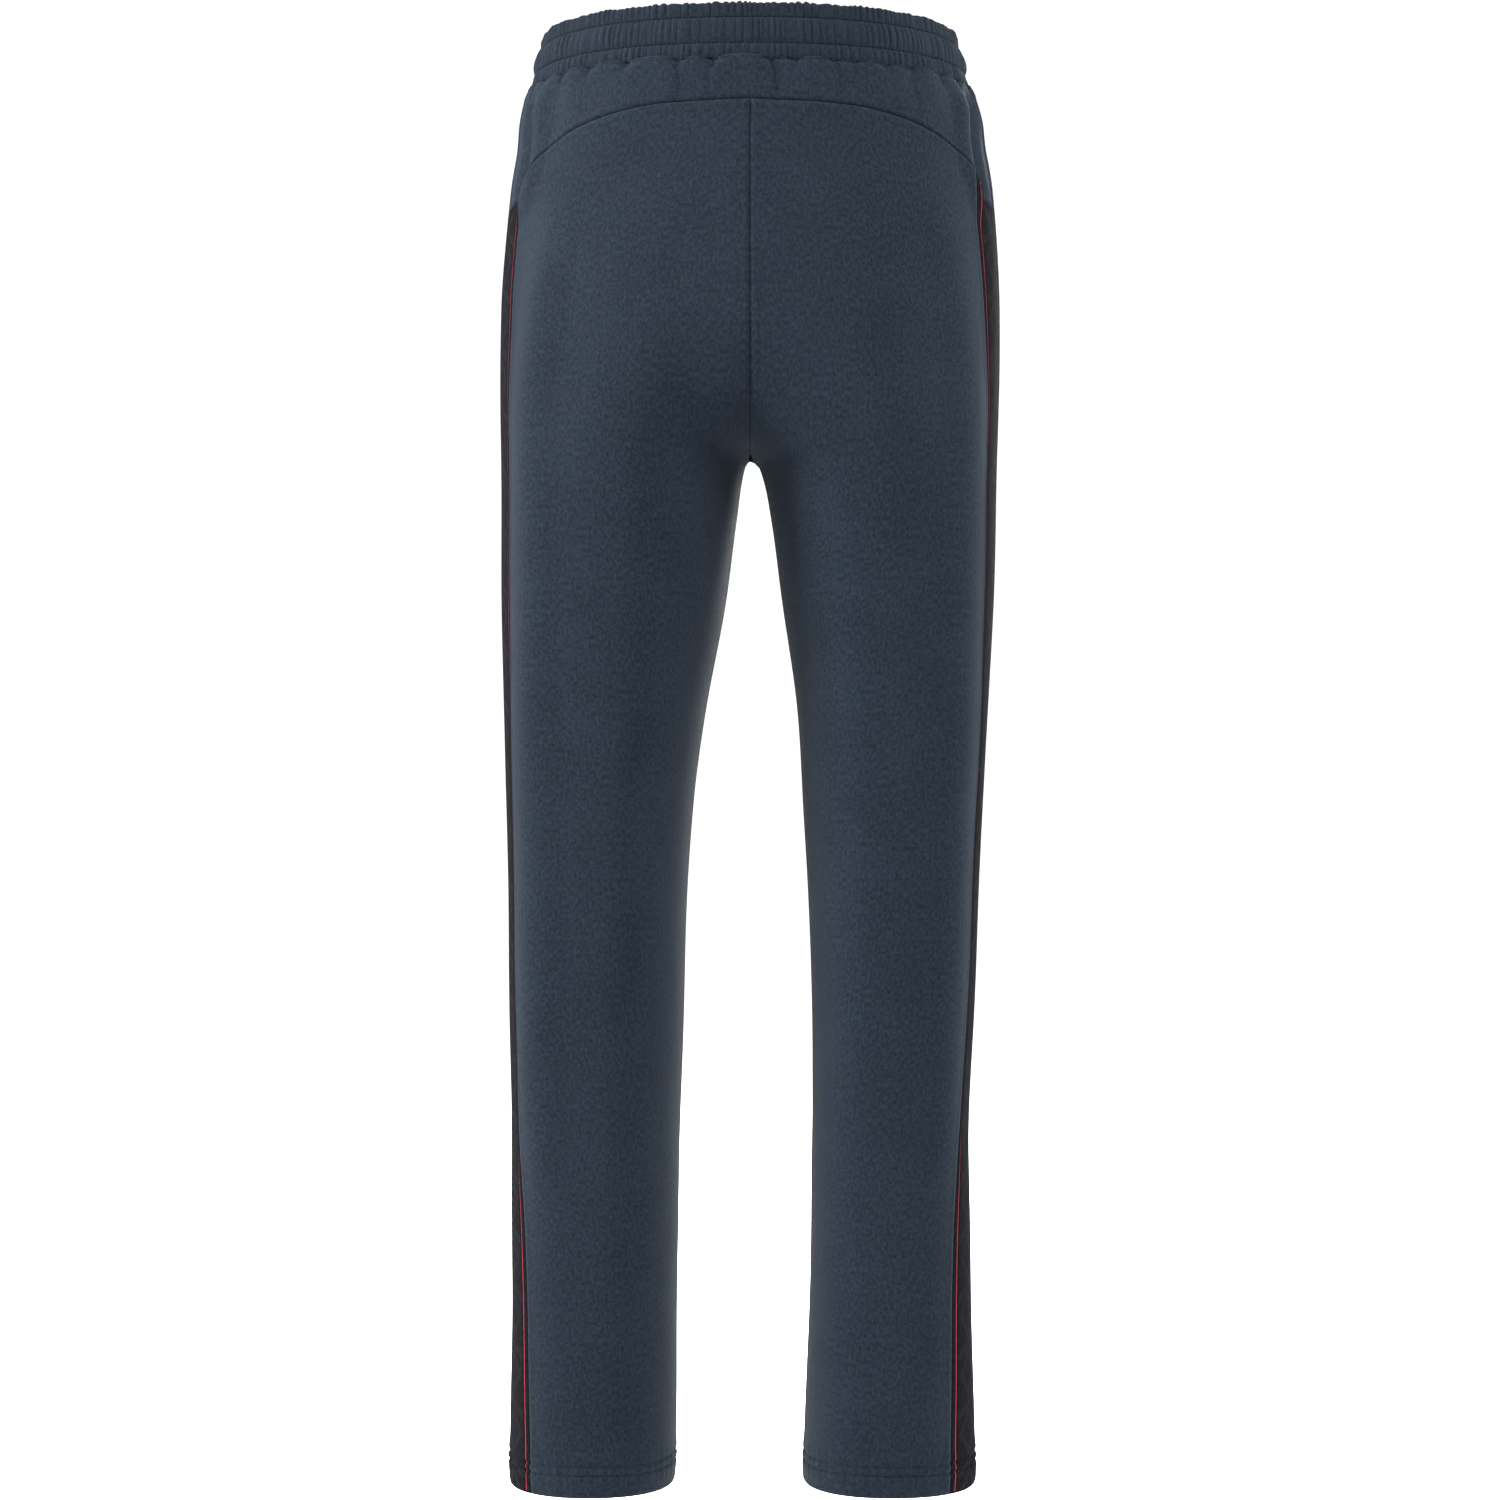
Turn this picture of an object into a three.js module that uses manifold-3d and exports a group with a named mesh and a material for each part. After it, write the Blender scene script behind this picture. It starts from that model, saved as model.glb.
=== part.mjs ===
// Training trousers with an elasticated waistband, a curved back yoke, a taped side and zipped side pockets,
// in the shape that they take when they are worn and hang straight.
// Millimetres, +Z up. The front faces -Y and the wearer's left is +X.
// The origin is the middle of the waist opening, level with the waistband's top edge.
import * as THREE from 'three';
import { mergeVertices } from 'three/addons/utils/BufferGeometryUtils.js';
import Module from 'manifold-3d';

const wasm = await Module();
wasm.setup();

// ---- Driving dimensions ----------------------------------------------------------------------------------
const OUTSEAM = 1034;            // waistband's top edge to the hem
const RISE = 300;                // waistband's top edge to the crotch
const CLOTH = 1.2;               // thickness of the double-knit cloth
const SEAM_GAP = 0.3;            // between two pieces that are sewn edge to edge
const FOLD_ROOM = 0.3;           // between two layers that lie on each other

const BAND_HEIGHT = 39;          // the shirred waistband
const BAND_BULGE = 1.5;          // how far the gathered casing stands proud of the cloth below it
const ELASTIC_THICKNESS = 1.5;
const ELASTIC_MARGIN = 2;        // from the elastic to the casing's fold
const STITCH_ROWS = [10, 28];    // depths of the two stitched rows that divide the waistband
const THREAD = 0.7;

const TAPE_WIDTH = 42;           // the dark tape down each side
const STRIPE_WIDTH = 1.6;        // the red stripe let into the tape near each of its edges
const STRIPE_PROUD = 0;
const STRIPE_DEPTH = 0.6;
const STRIPE_INSET = 3;          // from the tape's edge to the stripe

const HEM_DEPTH = 24;            // how far the hem is turned up inside
const HEM_ROWS = [21, 15];       // heights of the twin needle's two rows above the hem

const ZIP_TOP_DROP = 56;         // waistband's top edge to the upper end of the pocket zip's tape
const ZIP_BOTTOM_DROP = 210;
const ZIP_TOP_REACH = 78;        // arc from the side line forward to the zip tape's upper end
const ZIP_BOTTOM_REACH = 77;
const ZIP_FLAT = 12;             // the cloth lies straight this far to each side of the zip
const ZIP_FADE = 45;             // and is back in its own curve this far away
const ZIP_TAPE_WIDTH = 20;
const ZIP_TAPE_THICKNESS = 0.6;
const ZIP_TAPE_SINK = 2.6;       // from the cloth's face down to the zip tape
const ZIP_TAPE_END = 9;          // from the chain's end to the end of its tape
const ZIP_CHAIN_WIDTH = 4;
const ZIP_CHAIN_HEIGHT = 2.2;
const ZIP_WINDOW_WIDTH = 10;     // the slit in the front panel that shows the zip
const ZIP_WINDOW_END = 3;        // from the chain's end to the end of the slit
const SLIDER_LENGTH = 9;
const SLIDER_WIDTH = 7.4;
const SLIDER_WALL = 1.0;
const SLIDER_ROOM = 0.3;         // running clearance round the chain
const BRIDGE_WIDTH = 2;          // the bridge that holds the puller
const BRIDGE_LENGTH = 6;
const BRIDGE_HEIGHT = 2.4;
const BRIDGE_HOLE_LENGTH = 3.6;
const BRIDGE_HOLE_HEIGHT = 1.5;
const PULLER_LENGTH = 24;
const PULLER_WIDTH = 6.4;
const PULLER_THICKNESS = 0.9;
const PULLER_EYE_WIDTH = 3.6;    // the eye that goes round the bridge
const PULLER_EYE_LENGTH = 4.1;   // from the middle of its pin to the plate

const POCKET_BOTTOM_DROP = 262;  // waistband's top edge to the bottom of the pocket bag
const POCKET_REACH_BACK = 46;    // arc from the side line to the bag's edge behind the zip
const POCKET_REACH_FRONT = 170;  // arc from the side line to the bag's front edge
const POCKET_THICKNESS = 0.8;    // two layers of pocketing
const POCKET_SINK = 4.1;         // from the cloth's face down to the bag

const EYELET_SPREAD = 44;        // between the two drawcord eyelets
const EYELET_FLANGE_R = 5;
const EYELET_BORE_R = 2.2;
const EYELET_BARREL_R = 2.8;
const EYELET_FLANGE = 0.7;

const SIZE_LABEL = [42, 28];     // width and height
const CARE_LABEL = [30, 42];
const CARE_LABEL_DROP = 128;     // waistband's top edge to the label's upper edge
const LABEL_THICKNESS = 0.4;

const HIP_PIVOT_DROP = 320;      // waistband's top edge to the axis that each leg swings about
const HIP_PIVOT_RADIUS = 124;    // the legs' upper ends are cut round, so that they clear the seat as they swing
const HIP_PIVOT_GAP = 0.6;

// ---- Outline ---------------------------------------------------------------------------------------------
// Each list gives [height, size] where the outline changes, and outlineAt() draws a smooth line through them.
const CROTCH_Z = -RISE;
const HEM_Z = -OUTSEAM;
const FALL_Z = -120;             // above here the section is one oval, below it the legs begin to part
const PINCH_POWER = 3;           // how late the centre seams turn in towards the crotch
const CENTRE_DELAY = 1.3;        // how late the two legs' own centres part
const SECTION_POWER = 2.2;       // 2 is an ellipse, more is squarer
const OUTER_LEFT = [[0, 145], [-20, 151], [-39, 154.5], [-68, 163], [-114, 171], [-200, 177], [-320, 177],
  [-460, 176], [-575, 173.5], [-700, 171], [-890, 170], [HEM_Z, 172]];
const OUTER_RIGHT = [[0, 145], [-20, 151], [-39, 154.5], [-68, 165], [-114, 173], [-200, 177.5], [-320, 175.5],
  [-460, 171], [-575, 164.5], [-700, 159.5], [-800, 156.5], [-890, 157.5], [HEM_Z, 161]];
const INNER_LEFT = [[CROTCH_Z, 0], [CROTCH_Z - 5, 4], [-344, 10.5], [-402, 19], [-488, 34.5], [-546, 42],
  [-604, 45.5], [-720, 50], [-835, 53], [HEM_Z, 55]];
const INNER_RIGHT = [[CROTCH_Z, 0], [CROTCH_Z - 5, 7], [-344, 16.5], [-402, 25], [-488, 36], [-546, 40],
  [-604, 43], [-720, 46], [-835, 46], [-949, 42.5], [HEM_Z, 39.5]];
const FRONT = [[0, 103], [-39, 107], [-100, 113], [-180, 117], [-260, 113], [-320, 107], [-402, 97], [-500, 86],
  [-600, 77], [-760, 66], [-900, 58.5], [HEM_Z, 54.5]];
const BACK = [[0, 110], [-39, 114], [-100, 122], [-200, 131], [-260, 127], [-320, 116], [-402, 103], [-500, 90],
  [-600, 82], [-760, 72], [-900, 62.5], [HEM_Z, 56]];
// The middle of the tape, as an arc behind the side line.
const TAPE_LEFT = [[-150, 33], [-220, 38], [-300, 39], [-400, 34], [-500, 28], [-600, 24], [-900, 24], [HEM_Z, 26]];
const TAPE_RIGHT = [[-150, 43], [-230, 46], [-310, 46], [-420, 37], [-520, 28], [-650, 26], [-900, 28], [HEM_Z, 29]];
// The yoke seam, as [arc behind the side line, height]: level across the back, then down to the front of the tape.
const YOKE_SEAM = [
  [228, -68], [162, -70.5], [120, -77], [92, -86], [76, -95], [64, -106], [52, -116], [38, -122], [15, -127], [-24, -132],
];

const SIDES = [
  { name: 'left', sign: 1, outer: OUTER_LEFT, inner: INNER_LEFT, tape: TAPE_LEFT },
  { name: 'right', sign: -1, outer: OUTER_RIGHT, inner: INNER_RIGHT, tape: TAPE_RIGHT },
];

const half = SEAM_GAP / 2;
const mix = (a, b, t) => a + (b - a) * t;
const clamp = (v, low, high) => Math.min(high, Math.max(low, v));
const ease = (t) => t * t * (3 - 2 * t);

// A smooth line through the stations that never overshoots them (a monotone cubic).
function outlineAt(stations, z) {
  const last = stations.length - 1;
  if (z >= stations[0][0]) return stations[0][1];
  if (z <= stations[last][0]) return stations[last][1];
  let i = 0;
  while (stations[i + 1][0] > z) i += 1;
  const slope = (j) => (stations[j + 1][1] - stations[j][1]) / (stations[j + 1][0] - stations[j][0]);
  const tangent = (j) => {
    if (j === 0) return slope(0);
    if (j === last) return slope(last - 1);
    const [a, b] = [slope(j - 1), slope(j)];
    return a * b <= 0 ? 0 : (2 * a * b) / (a + b);
  };
  const [z0, v0] = stations[i];
  const [z1, v1] = stations[i + 1];
  const h = z1 - z0;
  const t = (z - z0) / h;
  return v0 * (1 + 2 * t) * (1 - t) ** 2 + v1 * t * t * (3 - 2 * t)
    + tangent(i) * h * t * (1 - t) ** 2 - tangent(i + 1) * h * t * t * (1 - t);
}

// ---- The trousers' outer surface -------------------------------------------------------------------------
// One half's section at height z: an oval about (centre, 0) with its own reach to each of the four sides.
// Above the crotch the centre line, x = 0, cuts it short on the inside.
function sectionAt(side, z) {
  const outer = outlineAt(side.outer, z);
  const front = outlineAt(FRONT, z);
  const back = outlineAt(BACK, z);
  if (z < CROTCH_Z) {
    const inner = outlineAt(side.inner, z);
    const centre = (outer + inner) / 2;
    return { outer: outer - centre, inner: centre - inner, front, back, centre, pinch: 1 };
  }
  const fall = clamp((FALL_Z - z) / (FALL_Z - CROTCH_Z), 0, 1);
  const centre = (outer / 2) * ease(fall ** CENTRE_DELAY);
  const pinch = fall ** PINCH_POWER;
  return { outer: outer - centre, inner: centre / Math.max(pinch, 1e-6), front, back, centre, pinch };
}

// The section's points from its front end, round the side, to its back end, with the arc from the side line.
const sections = new Map();
function sectionLine(side, z) {
  const key = `${side.name}${z.toFixed(4)}`;
  if (sections.has(key)) return sections.get(key);
  const s = sectionAt(side, z);
  const power = 2 / SECTION_POWER;
  const steps = 28;
  const inwards = Math.asin(s.pinch ** (SECTION_POWER / 2));
  const quarter = (reach, depth, angle) => [s.centre + reach * Math.sin(angle) ** power,
    depth * Math.cos(angle) ** power];
  const points = [];
  const add = (point) => points.push(point);
  for (let i = 0; i < steps; i += 1) add(quarter(-s.inner, -s.front, inwards * (1 - i / steps)));
  for (let i = 0; i < steps; i += 1) add(quarter(s.outer, -s.front, (Math.PI / 2) * (i / steps)));
  for (let i = steps; i > 0; i -= 1) add(quarter(s.outer, s.back, (Math.PI / 2) * (i / steps)));
  for (let i = 0; i <= steps; i += 1) add(quarter(-s.inner, s.back, inwards * (i / steps)));
  const sideIndex = 2 * steps;
  const arcs = [0];
  for (let i = 1; i < points.length; i += 1) {
    arcs.push(arcs[i - 1] + Math.hypot(points[i][0] - points[i - 1][0], points[i][1] - points[i - 1][1]));
  }
  const line = { points, arcs: arcs.map((a) => a - arcs[sideIndex]) };
  sections.set(key, line);
  return line;
}

const frontEnd = (side, z) => sectionLine(side, z).arcs[0];
const backEnd = (side, z) => sectionLine(side, z).arcs.at(-1);

// The outward direction, from the section's own equation, which also holds at the crotch.
function outwardAt(side, x, y, z) {
  const parts = (height) => {
    const s = sectionAt(side, height);
    return [[x - s.centre, x < s.centre ? s.inner : s.outer], [y, y < 0 ? s.front : s.back]];
  };
  const level = (height) => parts(height).reduce((sum, [d, reach]) => sum + Math.abs(d / reach) ** SECTION_POWER, 0);
  const slope = ([d, reach]) => (Math.sign(d) * SECTION_POWER * Math.abs(d / reach) ** (SECTION_POWER - 1)) / reach;
  const step = 0.5;
  const [gx, gy] = parts(z).map(slope);
  return new THREE.Vector3(gx, gy, (level(z + step) - level(z - step)) / (2 * step)).normalize();
}

// A point on the smooth surface, given the arc from the side line and the height.
function smoothPoint(side, arc, z) {
  const { points, arcs } = sectionLine(side, z);
  const a = clamp(arc, arcs[0], arcs.at(-1));
  let i = 0;
  while (i < arcs.length - 2 && arcs[i + 1] < a) i += 1;
  const t = (a - arcs[i]) / Math.max(arcs[i + 1] - arcs[i], 1e-9);
  return new THREE.Vector3(mix(points[i][0], points[i + 1][0], t), mix(points[i][1], points[i + 1][1], t), z);
}

// Along the pocket zip, from its upper end to its lower end, the cloth is drawn straight.
const zipShare = (z) => clamp((-ZIP_TOP_DROP - z) / (ZIP_BOTTOM_DROP - ZIP_TOP_DROP), 0, 1);
const zipArc = (z) => -mix(ZIP_TOP_REACH, ZIP_BOTTOM_REACH, zipShare(z));
function zipPull(side, arc, z) {
  const away = Math.abs(arc - zipArc(z));
  if (away > ZIP_FADE || z > -ZIP_TOP_DROP || z < -ZIP_BOTTOM_DROP) return new THREE.Vector3();
  const top = smoothPoint(side, zipArc(-ZIP_TOP_DROP), -ZIP_TOP_DROP);
  const bottom = smoothPoint(side, zipArc(-ZIP_BOTTOM_DROP), -ZIP_BOTTOM_DROP);
  const straight = top.lerp(bottom, zipShare(z));
  const fade = 1 - ease(clamp((away - ZIP_FLAT) / (ZIP_FADE - ZIP_FLAT), 0, 1));
  return straight.sub(smoothPoint(side, zipArc(z), z)).multiplyScalar(fade);
}

// A point of the cloth, given the arc from the side line, the height and how far it stands off.
function surfacePoint(side, arc, z, off = 0) {
  const p = smoothPoint(side, arc, z);
  const outward = outwardAt(side, p.x, p.y, z);
  p.add(zipPull(side, arc, z)).addScaledVector(outward, off);
  p.x = Math.max(p.x, half) * side.sign;
  return p;
}

// ---- Solids ----------------------------------------------------------------------------------------------
function geometryOf(solid) {
  const mesh = solid.getMesh();
  const positions = new Float32Array(mesh.numVert * 3);
  for (let i = 0; i < mesh.numVert; i += 1) {
    positions.set(mesh.vertProperties.subarray(i * mesh.numProp, i * mesh.numProp + 3), i * 3);
  }
  return new THREE.BufferGeometry()
    .setAttribute('position', new THREE.BufferAttribute(positions, 3))
    .setIndex(new THREE.BufferAttribute(mesh.triVerts, 1));
}

function solidOf(geometry) {
  const bare = geometry.clone();
  bare.deleteAttribute('normal');
  bare.deleteAttribute('uv');
  const merged = mergeVertices(bare, 1e-3);
  return new wasm.Manifold(new wasm.Mesh({
    numProp: 3,
    vertProperties: merged.getAttribute('position').array,
    triVerts: new Uint32Array(merged.index.array),
  }));
}

// A closed solid from a grid of outer points and the grid of inner points behind it. mirrored turns its faces.
function slab(outer, inner, mirrored, ringed = false) {
  const rows = outer.length;
  const columns = outer[0].length;
  const positions = [...outer.flat(), ...inner.flat()].flatMap((p) => [p.x, p.y, p.z]);
  const index = [];
  const at = (layer, r, c) => layer * rows * columns + r * columns + (c % columns);
  const quad = (a, b, c, d) => index.push(...(mirrored ? [a, c, b, a, d, c] : [a, b, c, a, c, d]));
  const spans = ringed ? columns : columns - 1;
  for (let r = 0; r < rows - 1; r += 1) {
    for (let c = 0; c < spans; c += 1) {
      quad(at(0, r, c), at(0, r + 1, c), at(0, r + 1, c + 1), at(0, r, c + 1));
      quad(at(1, r, c), at(1, r, c + 1), at(1, r + 1, c + 1), at(1, r + 1, c));
    }
  }
  for (let c = 0; c < spans; c += 1) {
    quad(at(0, 0, c), at(0, 0, c + 1), at(1, 0, c + 1), at(1, 0, c));
    quad(at(0, rows - 1, c), at(1, rows - 1, c), at(1, rows - 1, c + 1), at(0, rows - 1, c + 1));
  }
  for (let r = 0; r < rows - 1 && !ringed; r += 1) {
    quad(at(0, r, 0), at(1, r, 0), at(1, r + 1, 0), at(0, r + 1, 0));
    quad(at(0, r, columns - 1), at(0, r + 1, columns - 1), at(1, r + 1, columns - 1), at(1, r, columns - 1));
  }
  return new THREE.BufferGeometry()
    .setAttribute('position', new THREE.BufferAttribute(new Float32Array(positions), 3))
    .setIndex(index);
}

// A sewn piece of cloth on one side, from the arc start(z) to end(z). Its upper edge is at top(arc); below LEVEL_Z its
// rows lie level, at heights that all the pieces share.
const LEVEL_Z = -150;
const LEG_ROWS = (() => {
  const heights = [LEVEL_Z, -180, -ZIP_BOTTOM_DROP, -250, CROTCH_Z, HEM_Z + HEM_DEPTH, HEM_Z];
  for (let z = -350; z > HEM_Z + 60; z -= 80) heights.push(z);
  for (let i = 1; i <= 4; i += 1) heights.push(CROTCH_Z + 36 * (i / 4) ** 2, CROTCH_Z - 24 * (i / 4) ** 2);
  return [...new Set(heights)].sort((a, b) => b - a);
})();
function clothRows(top, bottom, upper) {
  const shared = LEG_ROWS.filter((z) => z < top - 1 && z > bottom + 1);
  const above = upper.map((share) => mix(top, LEVEL_Z, share)).filter((z) => z > LEVEL_Z);
  return [top, ...above, ...shared, bottom];
}
function clothPiece(side, { start, end, top, bottom, columns, upper = [0.5], off = 0, thick = CLOTH }) {
  const highest = top(0);
  const grid = (stand) => clothRows(highest, bottom, upper).map((row) => Array.from({ length: columns + 1 }, (_, c) => {
    let z = row;
    let arc = 0;
    for (let i = 0; i < 5; i += 1) {
      arc = mix(start(z), end(z), c / columns);
      z = row > LEVEL_Z ? mix(LEVEL_Z, top(arc), (row - LEVEL_Z) / (highest - LEVEL_Z)) : row;
    }
    return surfacePoint(side, arc, z, stand);
  }));
  return solidOf(slab(grid(off), grid(off - thick), side.sign < 0));
}

// A piece that runs across the centre back from one side to the other.
function acrossBack({ start, top, bottom, columns, down, off = 0, thick = CLOTH }) {
  const grid = (stand) => down.map((share) => SIDES.flatMap((side) => {
    const line = Array.from({ length: columns + 1 }, (_, c) => {
      let z = top;
      let arc = 0;
      for (let i = 0; i < 5; i += 1) {
        arc = mix(start(side, z), backEnd(side, z), c / columns);
        z = mix(top, bottom(arc), share);
      }
      const p = surfacePoint(side, arc, z, stand);
      if (c === columns) p.x = 0;
      return p;
    });
    return side.sign > 0 ? line : line.reverse().slice(1);
  }));
  return solidOf(slab(grid(off), grid(off - thick), false));
}

// A ring round the waist: profile lists [stand-off, height], going round the ring's own section.
function waistRing(profile, perSide = 21) {
  const stations = SIDES.flatMap((side) => Array.from({ length: perSide }, (_, i) => [side,
    side.sign > 0 ? i / perSide : 1 - i / perSide]));
  const rings = profile.map(([off, z]) => stations.map(([side, share]) => {
    const p = surfacePoint(side, mix(frontEnd(side, z), backEnd(side, z), share), z, off);
    if (share === 0 || share === 1) p.x = 0;
    return p;
  }));
  return loopSolid(rings, false);
}

// A ring round one leg.
function legRing(side, profile, columns = 38) {
  const rings = profile.map(([off, z]) => Array.from({ length: columns }, (_, i) => surfacePoint(side,
    mix(frontEnd(side, z), backEnd(side, z), i / columns), z, off)));
  return loopSolid(rings, side.sign < 0);
}

// Closes a list of rings into a solid, the last ring joined to the first.
function loopSolid(rings, mirrored) {
  const columns = rings[0].length;
  const index = [];
  rings.forEach((_, r) => {
    const next = (r + 1) % rings.length;
    for (let c = 0; c < columns; c += 1) {
      const right = (c + 1) % columns;
      const corners = [r * columns + c, next * columns + c, next * columns + right, r * columns + right];
      const order = mirrored ? [0, 2, 1, 0, 3, 2] : [0, 1, 2, 0, 2, 3];
      index.push(...order.map((i) => corners[i]));
    }
  });
  const positions = rings.flat().flatMap((p) => [p.x, p.y, p.z]);
  return solidOf(new THREE.BufferGeometry()
    .setAttribute('position', new THREE.BufferAttribute(new Float32Array(positions), 3))
    .setIndex(index));
}

// ---- The assembly ----------------------------------------------------------------------------------------
const group = new THREE.Group();
const NAVY = { color: 0x2c3846, roughness: 0.85, metalness: 0 };
const CHARCOAL = { color: 0x2b2b30, roughness: 0.8, metalness: 0 };
const RED = { color: 0xb02a33, roughness: 0.6, metalness: 0 };
const WHITE = { color: 0xd8d8d4, roughness: 0.8, metalness: 0 };
const BLACK = { color: 0x17181b, roughness: 0.7, metalness: 0 };
const DARK_METAL = { color: 0x33363b, roughness: 0.4, metalness: 0.9 };

function add(name, solid, finish) {
  const mesh = new THREE.Mesh(geometryOf(solid), new THREE.MeshStandardMaterial(finish));
  mesh.name = name;
  group.add(mesh);
}

// The leg swings about the hip line. What is cut with legSpace() stays with the leg, the rest with the seat.
function legSpace(grow) {
  const radius = HIP_PIVOT_RADIUS + grow;
  const wide = 500;
  const drum = new THREE.CylinderGeometry(radius, radius, wide, 72);
  drum.rotateZ(Math.PI / 2);
  const below = new THREE.BoxGeometry(wide, wide, OUTSEAM);
  below.translate(0, 0, grow - OUTSEAM / 2);
  return solidOf(drum).add(solidOf(below)).translate([0, 0, -HIP_PIVOT_DROP]);
}
const legCutter = legSpace(-HIP_PIVOT_GAP / 2);
const seatCutter = legSpace(HIP_PIVOT_GAP / 2);
function addInTwo(name, solid, finish) {
  add(`${name}_seat`, solid.subtract(seatCutter), finish);
  add(`${name}_leg`, solid.intersect(legCutter), finish);
}

// ---- Waistband -------------------------------------------------------------------------------------------
// A casing open at its lower edge, an elastic inside it and two rows of stitches that divide it in three.
const casingInside = BAND_BULGE - CLOTH;
const elasticOutside = casingInside - FOLD_ROOM;
const elasticInside = elasticOutside - ELASTIC_THICKNESS;
const liningOutside = elasticInside - FOLD_ROOM;
const liningInside = liningOutside - CLOTH;
const bandMiddle = -BAND_HEIGHT / 2;
const elasticTop = -CLOTH - ELASTIC_MARGIN;
let casing = waistRing([
  [BAND_BULGE, 0], [BAND_BULGE, bandMiddle], [BAND_BULGE, -BAND_HEIGHT],
  [casingInside, -BAND_HEIGHT], [casingInside, bandMiddle], [casingInside, -CLOTH],
  [liningOutside, -CLOTH], [liningOutside, bandMiddle], [liningOutside, -BAND_HEIGHT],
  [liningInside, -BAND_HEIGHT], [liningInside, bandMiddle], [liningInside, 0],
]);
add('waist_elastic', waistRing([
  [elasticOutside, elasticTop], [elasticOutside, bandMiddle], [elasticOutside, -BAND_HEIGHT],
  [elasticInside, -BAND_HEIGHT], [elasticInside, bandMiddle], [elasticInside, elasticTop],
]), WHITE);
['upper', 'lower'].forEach((name, i) => {
  const low = BAND_BULGE + FOLD_ROOM;
  const top = THREAD / 2 - STITCH_ROWS[i];
  add(`waistband_${name}_stitching`, waistRing([
    [low + THREAD, top], [low + THREAD, top - THREAD], [low, top - THREAD], [low, top],
  ]), NAVY);
});

// The drawcord's eyelets: a flange on the face and a barrel through the casing's outer wall.
for (const side of SIDES) {
  const z = -(STITCH_ROWS[0] + STITCH_ROWS[1]) / 2;
  let arc = frontEnd(side, z);
  while (Math.abs(smoothPoint(side, arc, z).x) < EYELET_SPREAD / 2) arc += 0.25;
  const face = surfacePoint(side, arc, z, BAND_BULGE);
  const outward = face.clone().sub(surfacePoint(side, arc, z)).normalize();
  const turn = new THREE.Quaternion().setFromUnitVectors(new THREE.Vector3(0, 1, 0), outward);
  const place = new THREE.Matrix4().compose(face, turn, new THREE.Vector3(1, 1, 1));
  const hole = new THREE.CylinderGeometry(EYELET_BARREL_R + FOLD_ROOM, EYELET_BARREL_R + FOLD_ROOM, 6, 20);
  hole.translate(0, 3 - CLOTH - 2 * FOLD_ROOM, 0).applyMatrix4(place);
  casing = casing.subtract(solidOf(hole));
  const rim = FOLD_ROOM + EYELET_FLANGE;
  const profile = [[EYELET_BORE_R, -CLOTH], [EYELET_BARREL_R, -CLOTH], [EYELET_BARREL_R, FOLD_ROOM],
    [EYELET_FLANGE_R, FOLD_ROOM], [EYELET_FLANGE_R, rim], [EYELET_BORE_R, rim], [EYELET_BORE_R, -CLOTH]];
  const eyelet = new THREE.LatheGeometry(profile.map(([r, h]) => new THREE.Vector2(r, h)), 20);
  add(`${side.name}_drawcord_eyelet`, solidOf(eyelet.applyMatrix4(place)), DARK_METAL);
}
add('waistband_casing', casing, NAVY);

// ---- Cloth -----------------------------------------------------------------------------------------------
const BAND_SEAM_Z = -BAND_HEIGHT - SEAM_GAP;
const tapeMiddle = (side, z) => outlineAt(side.tape, z);
const tapeFront = (side, z) => tapeMiddle(side, z) - TAPE_WIDTH / 2;
const tapeBack = (side, z) => tapeMiddle(side, z) + TAPE_WIDTH / 2;
const yokeSeam = (arc) => outlineAt(YOKE_SEAM, arc);

// The yoke is one piece, from the left tape's front edge round the back to the right one's.
add('back_yoke', acrossBack({
  start: (side, z) => tapeFront(side, z) + half,
  top: BAND_SEAM_Z,
  bottom: (arc) => yokeSeam(arc) + half,
  columns: 44,
  down: [0, 0.33, 0.66, 1],
}), NAVY);

// A panel with its hem turned up inside.
function hemmed(side, piece) {
  const panel = clothPiece(side, piece);
  const turnUp = clothPiece(side, { ...piece, top: () => HEM_Z + HEM_DEPTH, thick: CLOTH * 2 });
  return panel.add(turnUp);
}

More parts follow.
